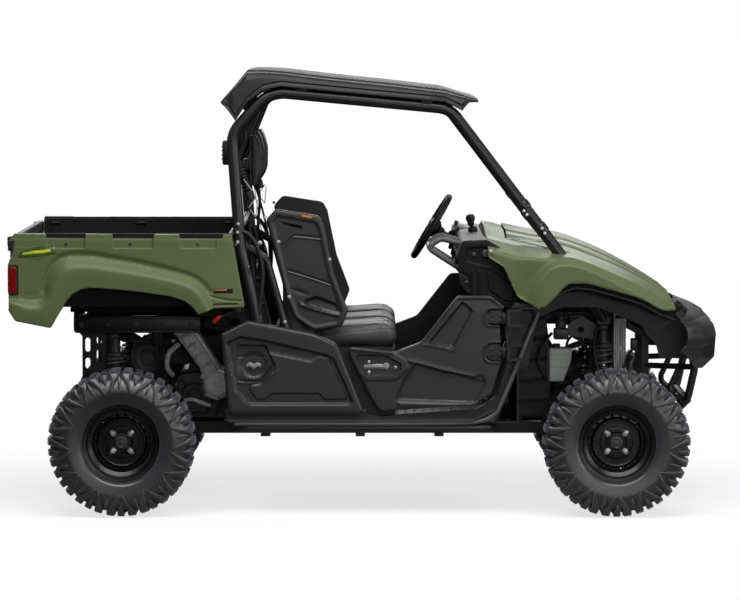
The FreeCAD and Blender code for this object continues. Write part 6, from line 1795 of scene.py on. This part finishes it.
def rear_frame():
    """Rails under the bed, slotted plates, feet, posts and the ears that carry the bed's hinge."""
    shape, bolts = Shape(), Shape()
    for side in (-1, 1):
        shape.block((-1265, side * 446, 776), (-717, side * 484, 848), 4)
        for z in (776, 838):
            shape.block((-1262, side * 480, z), (-720, side * 489, z + 10), 2)
        slots = [[(x - 11, z0, 10.5), (x + 11, z0, 10.5), (x + 11, z1, 10.5), (x - 11, z1, 10.5)]
                 for x, z0, z1 in ((-1213, 690, 752), (-1213, 616, 664), (-1163, 645, 700),
                                   (-1163, 725, 756))]
        shape.plate([(-1265, 848), (-1265, 790, 8), (-1237, 760, 12), (-1237, 520, 8), (-1134, 520, 8),
                     (-1134, 776, 14), (-717, 790), (-717, 848)], slots, side * 438, side * 446)
        for line, radius in (([(-1178, 452, 530), (-1221, 225, 345)], 16),
                             ([(-900, 456, 790), (-900, 225, 350)], 13),
                             ([(-1150, 452, 560), (-1150, 240, 470), (-1150, 225, 350)], 12)):
            shape.tube([(x, side * y, z) for x, y, z in line], radius, 14)
        shape.block((PIVOT_X - 25, side * EAR_IN, 776), (PIVOT_X + 25, side * (EAR_IN + 10), PIVOT_Z + 6), 4)
        shape.lathe([(0, PIN), (0, 25), (10, 25), (10, PIN), (0, PIN)], (PIVOT_X, side * EAR_IN, PIVOT_Z),
                    (0, side, 0), 32)
        shape.block((PIVOT_X - 25, side * 438, 780),
                    (PIVOT_X + 25, side * EAR_IN, 844), 4)
        shape.block((-757, side * 374, 846), (-717, side * 422, 858), 3)
        for x in (-1240, -1120, -1000, -880, -760):
            bolts.nut((x, side * 486, 812), (0, side, 0), 8, 7)
        for x, z in ((-1225, 545), (-1150, 545), (-1225, 775)):
            bolts.nut((x, side * 446, z), (0, side, 0), 7, 7)
    shape.block((-1265, -440, 776), (-1225, 440, 816), 4)
    shape.block((-757, -440, 776), (-717, 440, 848), 4)
    shape.piece("rear_frame_rails", frame_paint, "chassis", replaces=("rear_subframe",))
    bolts.piece("rear_frame_bolts", dark_casting, "chassis")


# A twelfth of a turn
TWELFTH = 0.5236


def crankcase_face():
    """Round bosses and ribs on the crankcase's right side."""
    case = Panel([(-842, 376, 26), (-474, 366, 26), (-452, 430, 20), (-458, 556, 24), (-540, 588, 20),
                  (-838, 570, 40)], 7.0, 8.0)
    for x, z, r, up in ((-760, 470, 62, 9), (-760, 470, 34, -7), (-560, 480, 44, 8), (-820, 520, 20, 7)):
        case.area([(x + r * math.cos(k * TWELFTH), z + r * math.sin(k * TWELFTH)) for k in range(12)], up, 6)
    for start, end in (((-700, 400), (-640, 560)), ((-660, 390), (-600, 560)), ((-820, 400), (-700, 392)),
                       ((-830, 440), (-800, 380)), ((-540, 400), (-480, 390)), ((-600, 440), (-500, 410))):
        case.fold([start, end], 7, 7)
    case.piece("crankcase_face", dark_casting, "chassis", -1, 200, 170)


rear_frame()
crankcase_face()


def front_fittings():
    """Brackets, reservoirs and brake lines beside the front frame."""
    shape, lines = Shape(), Shape()
    for side in (-1, 1):
        shape.block((826, side * 392, 742), (892, side * 436, 792), 8)
        shape.lathe([(0, 0), (0, 20), (6, 24), (34, 24), (40, 18), (52, 18), (54, 0)], (858, side * 414, 790),
                    (0, 0, 1), 28)
        shape.plate([(880, 760, 8), (1010, 742, 8), (1016, 806, 8), (950, 846, 10), (892, 812, 8)],
                    [[(930, 776, 8), (962, 772, 8), (958, 796, 8), (934, 800, 8)]], side * 420, side * 426)
        shape.block((1168, side * 340, 690), (1196, side * 400, 742), 5)
        for points, radius in (
                ([(860, 414, 830), (900, 440, 880), (980, 450, 900), (1040, 452, 860)], 6),
                ([(820, 414, 770), (780, 400, 720), (760, 390, 640), (800, 380, 560)], 7),
                ([(1040, 470, 830), (1000, 500, 760), (1010, 520, 640), (1060, 560, 520), (1080, 580, 420)],
                 6),
                ([(900, 400, 760), (960, 380, 720), (1000, 400, 650), (1010, 440, 560)], 5),
                ([(1180, 370, 700), (1150, 400, 660), (1120, 420, 560), (1100, 440, 480)], 6)):
            lines.tube(curve([(x, side * y, z) for x, y, z in points], 30), radius, 10)
    shape.piece("front_brackets", dark_casting, "chassis")
    lines.piece("brake_lines", grip_rubber, "chassis", sharp=0)


front_fittings()


def boots():
    """Ribbed rubber boots at both ends of each half shaft."""
    shape = Shape()
    for x in (FRONT_AXLE, REAR_AXLE):
        for side in (-1, 1):
            inner, outer = Vector((x, side * 100, 402)), Vector((x, side * 528, 322))
            axis = (outer - inner).normalized()
            long = (outer - inner).length
            for start, way in ((12, 1), (long - 70, -1)):
                profile = [(0, 0)]
                for k in range(6):
                    big = 38 - 3.6 * k
                    profile += [(way * (k * 13), big - 5), (way * (k * 13 + 6), big)]
                profile += [(way * 82, 15), (way * 86, 0)]
                shape.lathe(profile, inner + axis * start, axis, 28)
    shape.piece("shaft_boots", grip_rubber, "chassis", sharp=0)


boots()


# Cab

def steering_wheel():
    """A rim with a ribbed grip, three spokes and a cap."""
    centre = Vector((304, 330, 1197))
    rake = math.radians(31)
    axis = Vector((math.cos(rake), 0, -math.sin(rake)))
    side = Vector((0, 1, 0))
    up = axis.cross(side)

    def at(angle, reach, along=0.0):
        return centre + (side * math.cos(angle) + up * math.sin(angle)) * reach + axis * along

    ring = Shape()
    rows = []
    for k in range(120):
        angle = 2 * math.pi * k / 120
        out = (at(angle, 1) - centre).normalized()
        grip = 14.0 + 1.1 * max(0.0, math.sin(angle * 30))
        rows.append([at(angle, 155) + (out * math.cos(turn) + axis * math.sin(turn)) * grip
                     for turn in (2 * math.pi * j / 14 for j in range(14))])
    ring.grid(rows, closed_rows=True, closed_columns=True)
    ring.piece("wheel_grip", grip_rubber, "steering_wheel", replaces=("steering_wheel",), sharp=0)
    spokes = Shape()
    for angle in (math.radians(8), math.radians(172), math.radians(270)):
        across = (at(angle + math.pi / 2, 1) - centre).normalized()
        rows = []
        for share in (0, 0.3, 0.7, 1.0):
            reach = 34 + (146 - 34) * share
            wide = 26 - 16 * math.sin(math.pi * share) * 0.6 - 6 * share
            lift = 16 * (1 - share) ** 2
            rows.append([at(angle, reach, lift + thick) + across * wide * way
                         for way, thick in ((-1, -4), (-0.7, -7), (0.7, -7), (1, -4), (1, 3), (-1, 3))])
        spokes.grid(rows, closed_columns=True, caps=True)
    spokes.lathe([(-14, 0), (-14, 30), (-10, 38), (4, 44), (26, 42), (40, 24), (60, 20), (60, 0)], centre,
                 axis, 40)
    spokes.piece("wheel_spokes", black_plastic, "steering_wheel")
    cap = Shape().lathe([(-15, 0), (-18, 10), (-17, 24), (-14, 27), (-12, 27), (-12, 0)], centre, axis, 36)
    cap.piece("wheel_cap", dark_plastic, "steering_wheel")


steering_wheel()


def dash_vents():
    """The hood over the gauge and four round vents."""
    shape = Shape()
    hood_rows = []
    for y in np.linspace(250, 410, 9):
        lift = 26 * math.sin(math.pi * (y - 250) / 160)
        hood_rows.append([(x, y, z) for x, z in ((392, 1150), (398, 1178 + lift), (420, 1192 + lift),
                                                 (470, 1190 + lift * 0.5), (500, 1180), (500, 1160),
                                                 (420, 1140))])
    shape.grid(hood_rows, closed_columns=True, caps=True)
    for y in (-560, -440, 60, 520):
        shape.lathe([(-6, 30), (-10, 38), (-2, 42), (8, 40), (8, 0), (-1, 0), (-1, 28)], (405, y, 1120),
                    (1, 0, -0.3), 32)
        for dz in (-18, -9, 0, 9, 18):
            shape.tube([(400 - dz * 0.1, y - 27, 1118 + dz), (400 - dz * 0.1, y + 27, 1118 + dz)], 2.0, 6)
    shape.piece("dash_vents", dark_plastic, "chassis")


def dash_cheeks():
    """The dash's ends with their studs."""
    cheek = Panel([(402, 1122, 14), (424, 1184, 14), (526, 1187), (600, 1145), (650, 1136), (650, 912, 10),
                   (560, 912, 10), (500, 930, 14), (440, 960, 14), (404, 1000, 14)], 7.0, 6.0)
    cheek.area([(428, 1100, 12), (440, 1162, 12), (520, 1166, 12), (588, 1128, 12), (596, 1088, 12),
                (520, 1074, 12)], -6, 7)
    cheek.area([(524, 1060, 10), (572, 1048, 12), (640, 992, 12), (640, 922, 8), (600, 930, 12),
                (532, 976, 14)], 5, 6)
    for x in (462, 492):
        cheek.fold([(x, 1056), (x + 4, 950)], 9, 6)
    cheek.fold([(412, 1050), (450, 1030), (452, 980)], 9, -5)
    for name, side in SIDES:
        cheek.piece(f"dash_cheek_{name}", bed_plastic, "chassis", side, 649, 641)
    studs = Shape()
    for side in (-1, 1):
        for x, z, radius in ((521, 1134, 16), (470, 1130, 9), (560, 1034, 7), (622, 955, 7), (438, 1010, 7)):
            studs.lathe([(-4, 0), (-4, radius), (3, radius), (5, radius - 3), (5, 0)], (x, side * 648, z),
                        (0, side, 0), 24)
    studs.piece("dash_studs", dark_casting, "chassis")


def dash_controls():
    """Switches, a gauge, a locker and the lever's knob."""
    buttons = Shape()
    for k in range(5):
        y = 120 - 34 * k
        buttons.block((404, y - 12, 1058), (425, y + 12, 1090), 4)
        buttons.block((400, y - 9, 1062), (408, y + 9, 1078), 3)
    buttons.lathe([(-6, 0), (-6, 14), (0, 20), (10, 22), (10, 0)], (412, 200, 1100), (1, 0, -0.2), 28)
    buttons.piece("dash_switches", grip_rubber, "chassis")
    gauge = Shape().lathe([(-5, 0), (-5, 46), (-9, 50), (-9, 56), (6, 58), (6, 0)], (404, 330, 1172),
                          (1, 0, -0.35), 48)
    gauge.piece("dash_gauge", clear_lens, "chassis")
    box = Shape().plate([(-600, 965, 12), (-250, 965, 12), (-250, 1075, 12), (-600, 1075, 12)],
                        [[(-590, 975, 8), (-260, 975, 8), (-260, 1065, 8), (-590, 1065, 8)]], 436, 452, "x")
    box.block((434, -450, 1040), (446, -400, 1058), 4)
    box.piece("dash_locker", dark_plastic, "chassis")
    knob = Shape().lathe([(-22, 0), (-22, 9), (-6, 14), (8, 21), (20, 21), (30, 14), (33, 0)],
                         (476, 40, 1236), (-0.16, 0, 1), 28)
    for k in range(5):
        knob.lathe([(8 * k, 20), (8 * k + 4, 30 - 2.6 * k), (8 * k + 8, 20), (8 * k + 8, 8), (8 * k, 8)],
                   (488, 40, 1172), (-0.16, 0, 1), 28)
    knob.piece("lever_knob", grip_rubber, "chassis")


def cab_floor():
    """Two pedals, and ribs across the floor."""
    pedals = Shape()
    for y, wide in ((390, 34), (290, 24)):
        pedals.block((560, y - wide, 480), (568, y + wide, 560), 3)
        for k in range(5):
            pedals.block((556, y - wide + 4, 488 + 15 * k), (562, y + wide - 4, 494 + 15 * k), 1.5)
        pedals.tube(curve([(568, y, 530), (600, y, 600), (640, y, 700)], 14), 7, 10)
    pedals.piece("pedals", dark_casting, "chassis")
    floor = Shape()
    for x in np.linspace(-340, 620, 25):
        floor.block((x - 6, -640, 408), (x + 6, 640, 414), 2)
    floor.piece("floor_ribs", grip_rubber, "chassis")


dash_vents()
dash_cheeks()
dash_controls()
cab_floor()


# A belt's section, as (across, forwards)
WEB = ((-24, -0.9), (-23, -1.4), (0, -1.0), (23, -1.4), (24, -0.9), (23, 0.6), (0, 1.0), (-23, 0.6))


def belts():
    """The outer seats' belts with reels, straps, tongues and buckles, and the cables behind them."""
    reels, straps, tongues, fittings = Shape(), Shape(), Shape(), Shape()
    for side in (-1, 1):
        low, high = sorted((side * 536, side * 586))
        reels.block((-616, low, 1512), (-572, high, 1618), 9)
        reels.block((-606, low - 3, 1530), (-582, high + 3, 1600), 4)
        for k in range(4):
            reels.block((-619, low + 4, 1534 + 18 * k), (-613, high - 4, 1541 + 18 * k), 2)
        boot = Vector((-548, side * 600, 1528)), Vector((-505, side * 600, 1400))
        axis = (boot[1] - boot[0]).normalized()
        profile = [(0, 0), (0, 17)]
        for k in range(9):
            profile += [(8 + 14 * k, 17), (13 + 14 * k, 22), (18 + 14 * k, 17)]
        reels.lathe(profile + [(136, 12), (136, 0)], boot[0], axis, 24)
        reels.lathe([(0, 15), (0, 21), (8, 23), (40, 21), (44, 15)], boot[1], axis, 24)
        for line, radius in (
                ([(-504, 1400), (-492, 1300), (-500, 1180), (-480, 1040), (-470, 900), (-430, 780)], 7),
                ([(-520, 1390), (-480, 1260), (-452, 1120), (-440, 960), (-400, 800)], 5),
                ([(-560, 1240), (-500, 1215), (-460, 1150), (-440, 1040), (-460, 860)], 9),
                ([(-505, 1075), (-497, 1000), (-491, 933), (-450, 840), (-406, 742)], 9)):
            reels.tube(curve([(x, side * (612 if radius < 9 else 655), z) for x, z in line], 30), radius, 10)
        rows = []
        for share in np.linspace(0, 1, 30):
            x = -540 + 145 * share - 14 * math.sin(math.pi * share)
            z = 1545 - 775 * share
            sway = 6 * math.sin(math.pi * share * 2)
            rows.append([(x + thick, side * (560 + sway) + wide, z) for wide, thick in WEB])
        straps.grid(rows, closed_columns=True, caps=True)
        tongues.plate([(side * 560 - 30, 1062, 6), (side * 560 + 30, 1062, 6), (side * 560 + 30, 1100, 10),
                       (side * 560 - 30, 1100, 10)],
                      [[(side * 560 - 24, 1078, 3), (side * 560 + 24, 1078, 3), (side * 560 + 24, 1090, 3),
                        (side * 560 - 24, 1090, 3)]], -468, -464, "x")
        for x, z in ((-505, 1075), (-470, 900), (-452, 1180)):
            fittings.nut((x, side * 652, z), (0, side, 0), 7, 7)
        for start, end in (((-522, 1452), (-486, 1404)), ((-500, 1330), (-468, 1376)),
                           ((-496, 1322), (-470, 1290)), ((-470, 1290), (-462, 1366))):
            fittings.tube([(start[0], side * 628, start[1]), (end[0], side * 628, end[1])], 2.2, 8)
    for y in (-205, -165, 165, 205):
        reels.block((-232, y - 15, 800), (-206, y + 15, 868), 6)
        straps.block((-224, y - 11, 740), (-214, y + 11, 806), 2)
        fittings.block((-228, y - 9, 866), (-210, y + 9, 871), 2)
    reels.piece("belt_reels", black_plastic, "chassis", replaces=("seat_belts",))
    straps.piece("belt_straps", webbing, "chassis")
    tongues.piece("belt_tongues", bright, "chassis")
    fittings.piece("belt_fittings", bright, "chassis")


belts()


def cage_details():
    """Clamps and bolts of the cage, the sill tubes, and covers behind and before the cab."""
    shape, trim = Shape(), Shape()
    for side in (-1, 1):
        top, foot = Vector((676, side * 640, 1350)), Vector((772, side * 640, 1224))
        axis = (foot - top).normalized()
        for start, end in ((-4, 30), (118, 158)):
            shape.lathe([(start, 24), (start, 27), (start + 3, 28.5), (end - 3, 28.5), (end, 27), (end, 24),
                         (start, 24)], top, axis, 32)
        line = curve([(744, side * 698, 884), (660, side * 698, 676), (585, side * 698, 492),
                      (548, side * 698, 436), (462, side * 698, 410), (155, side * 698, 404),
                      (-560, side * 698, 404)], 90)
        trim.tube(line, 12.0, 14)
    shape.piece("pillar_clamps", powder, "chassis")
    # The sill tubes are black. Their grey stands in for their highlights: painted highlight.
    trim.piece("sill_tube", highlight_grey_paint, "chassis")
    bolts = Shape()
    for side in (-1, 1):
        for x, z in ((762, 1243), (774, 1222), (684, 1318), (697, 1302)):
            bolts.lathe([(22, 0), (22, 7), (29, 7), (31, 5), (31.5, 0)], (x, side * 640, z), (0, side, 0), 18)
        for x, z in ((-548, 1184), (-548, 1226), (-546, 1262), (-428, 1290)):
            bolts.lathe([(20, 0), (20, 7), (28, 7), (30, 5), (30.5, 0)], (x, side * 640, z), (0, side, 0), 18)
    bolts.piece("cage_bolts", bright, "chassis")
    post_cover = Panel([(-546, 782, 10), (-552, 1130, 20), (-536, 1188, 20), (-500, 1192, 20),
                        (-458, 1080, 40), (-424, 900, 40), (-392, 782, 10)], 8.0, 6.0)
    for start, end in (((-540, 1120), (-480, 1130)), ((-540, 1010), (-455, 1020)),
                       ((-540, 900), (-435, 910))):
        post_cover.fold([start, end], 12, 5)
    post_cover.fold([(-520, 1170), (-500, 1000), (-480, 800)], 14, 7)
    for name, side in SIDES:
        post_cover.piece(f"post_cover_{name}", black_plastic, "chassis", side, 574, 562)
    liner = Panel([(655, 396, 10), (812, 396, 10), (818, 640, 20), (806, 760, 20), (790, 880, 20),
                   (655, 905, 10)],
                  9.0, 6.0)
    for z in (470, 560, 650, 740, 830):
        liner.fold([(668, z), (800, z + 10)], 12, 5)
    for name, side in SIDES:
        liner.piece(f"inner_liner_{name}", black_plastic, "chassis", side, 372, 362)


cage_details()


# Camera, floor and light

# How brightly the floor glows near the object. It is less than far away: painted shade in an oval around the
# object.
NEAR_GLOW = 0.72
WORLD_LIGHT = 0.17


FOCAL_PIXELS = 3493.0
PICTURE_WIDTH = 740.0
LOOK_DOWN = 4.39


def set_camera():
    """A camera far off on the right, turned down a little."""
    camera_data = bpy.data.cameras.new("camera")
    camera_data.sensor_width = 36.0
    camera_data.lens = FOCAL_PIXELS * camera_data.sensor_width / PICTURE_WIDTH
    camera_data.clip_end = 200.0
    camera = bpy.data.objects.new("camera", camera_data)
    camera.location = (0.022, -15.67, 2.086)
    camera.rotation_euler = (math.radians(90 - LOOK_DOWN), 0, 0)
    bpy.context.scene.collection.objects.link(camera)
    bpy.context.scene.camera = camera


def set_floor():
    """A floor that is white where it is far away. Near the object it glows less, which paints shade in an
    oval around it, and there it also takes light and shadow.
    """
    floor_mesh = bpy.data.meshes.new("floor")
    reach = 60.0
    floor_mesh.from_pydata([(-reach, -reach, 0), (reach, -reach, 0), (reach, reach, 0), (-reach, reach, 0)],
                           [], [(0, 1, 2, 3)])
    floor = bpy.data.objects.new("floor", floor_mesh)
    bpy.context.scene.collection.objects.link(floor)
    material = bpy.data.materials.new("floor_white")
    material.use_nodes = True
    tree = material.node_tree
    tree.nodes.clear()
    output = tree.nodes.new("ShaderNodeOutputMaterial")
    add = tree.nodes.new("ShaderNodeAddShader")
    mix = tree.nodes.new("ShaderNodeMixShader")
    matt = tree.nodes.new("ShaderNodeBsdfDiffuse")
    matt.inputs["Color"].default_value = (0.3, 0.3, 0.3, 1)
    near_glow = tree.nodes.new("ShaderNodeEmission")
    far_glow = tree.nodes.new("ShaderNodeEmission")
    path = tree.nodes.new("ShaderNodeLightPath")
    for glow, strength in ((near_glow, NEAR_GLOW), (far_glow, 1.0)):
        level = tree.nodes.new("ShaderNodeMath")
        level.operation = "MULTIPLY"
        level.inputs[1].default_value = strength
        tree.links.new(path.outputs["Is Camera Ray"], level.inputs[0])
        tree.links.new(level.outputs[0], glow.inputs["Strength"])
    # The oval near the object, where the weaker glow paints shade, fading out to the white far glow.
    place_at = tree.nodes.new("ShaderNodeTexCoord")
    length = tree.nodes.new("ShaderNodeVectorMath")
    length.operation = "LENGTH"
    oval = tree.nodes.new("ShaderNodeVectorMath")
    oval.operation = "MULTIPLY"
    oval.inputs[1].default_value = (0.42, 1.0, 1.0)
    tree.links.new(place_at.outputs["Object"], oval.inputs[0])
    tree.links.new(oval.outputs["Vector"], length.inputs[0])
    far = tree.nodes.new("ShaderNodeMapRange")
    far.interpolation_type = "SMOOTHSTEP"
    far.inputs["From Min"].default_value = 0.7
    far.inputs["From Max"].default_value = 2.0
    tree.links.new(length.outputs["Value"], far.inputs["Value"])
    tree.links.new(matt.outputs["BSDF"], add.inputs[0])
    tree.links.new(near_glow.outputs["Emission"], add.inputs[1])
    tree.links.new(far.outputs["Result"], mix.inputs["Fac"])
    tree.links.new(add.outputs["Shader"], mix.inputs[1])
    tree.links.new(far_glow.outputs["Emission"], mix.inputs[2])
    tree.links.new(mix.outputs["Shader"], output.inputs["Surface"])
    floor_mesh.materials.append(material)


def set_world():
    """A white background that lights the object only a little."""
    world = bpy.data.worlds.new("studio")
    bpy.context.scene.world = world
    world.use_nodes = True
    tree = world.node_tree
    background = tree.nodes["Background"]
    background.inputs["Color"].default_value = (1, 1, 1, 1)
    path = tree.nodes.new("ShaderNodeLightPath")
    spread = tree.nodes.new("ShaderNodeMapRange")
    spread.inputs["To Min"].default_value = WORLD_LIGHT
    spread.inputs["To Max"].default_value = 1.0
    tree.links.new(path.outputs["Is Camera Ray"], spread.inputs["Value"])
    tree.links.new(spread.outputs["Result"], background.inputs["Strength"])


def set_lamps():
    """Soft boxes above, beside, before and behind the object."""
    for name, place, aim, size, power in (
            ("top_softbox", (0.0, -3.2, 5.6), (0, 0, 0.6), (7.0, 3.0), 355.0),
            ("side_softbox", (2.6, -7.0, 1.7), (0.2, 0, 0.6), (6.0, 2.0), 85.0),
            ("front_softbox", (6.5, -2.5, 2.2), (0.8, 0, 0.7), (3.0, 3.0), 105.0),
            ("back_softbox", (0.0, 7.0, 4.0), (0, 0, 0.7), (6.0, 3.0), 210.0)):
        light = bpy.data.lights.new(name, "AREA")
        light.shape = "RECTANGLE"
        light.size, light.size_y = size
        light.energy = power
        lamp = bpy.data.objects.new(name, light)
        lamp.location = place
        lamp.rotation_euler = (Vector(aim) - Vector(place)).to_track_quat("-Z", "Y").to_euler()
        bpy.context.scene.collection.objects.link(lamp)


set_camera()
set_floor()
set_world()
set_lamps()
bpy.context.scene.view_settings.view_transform = "Standard"
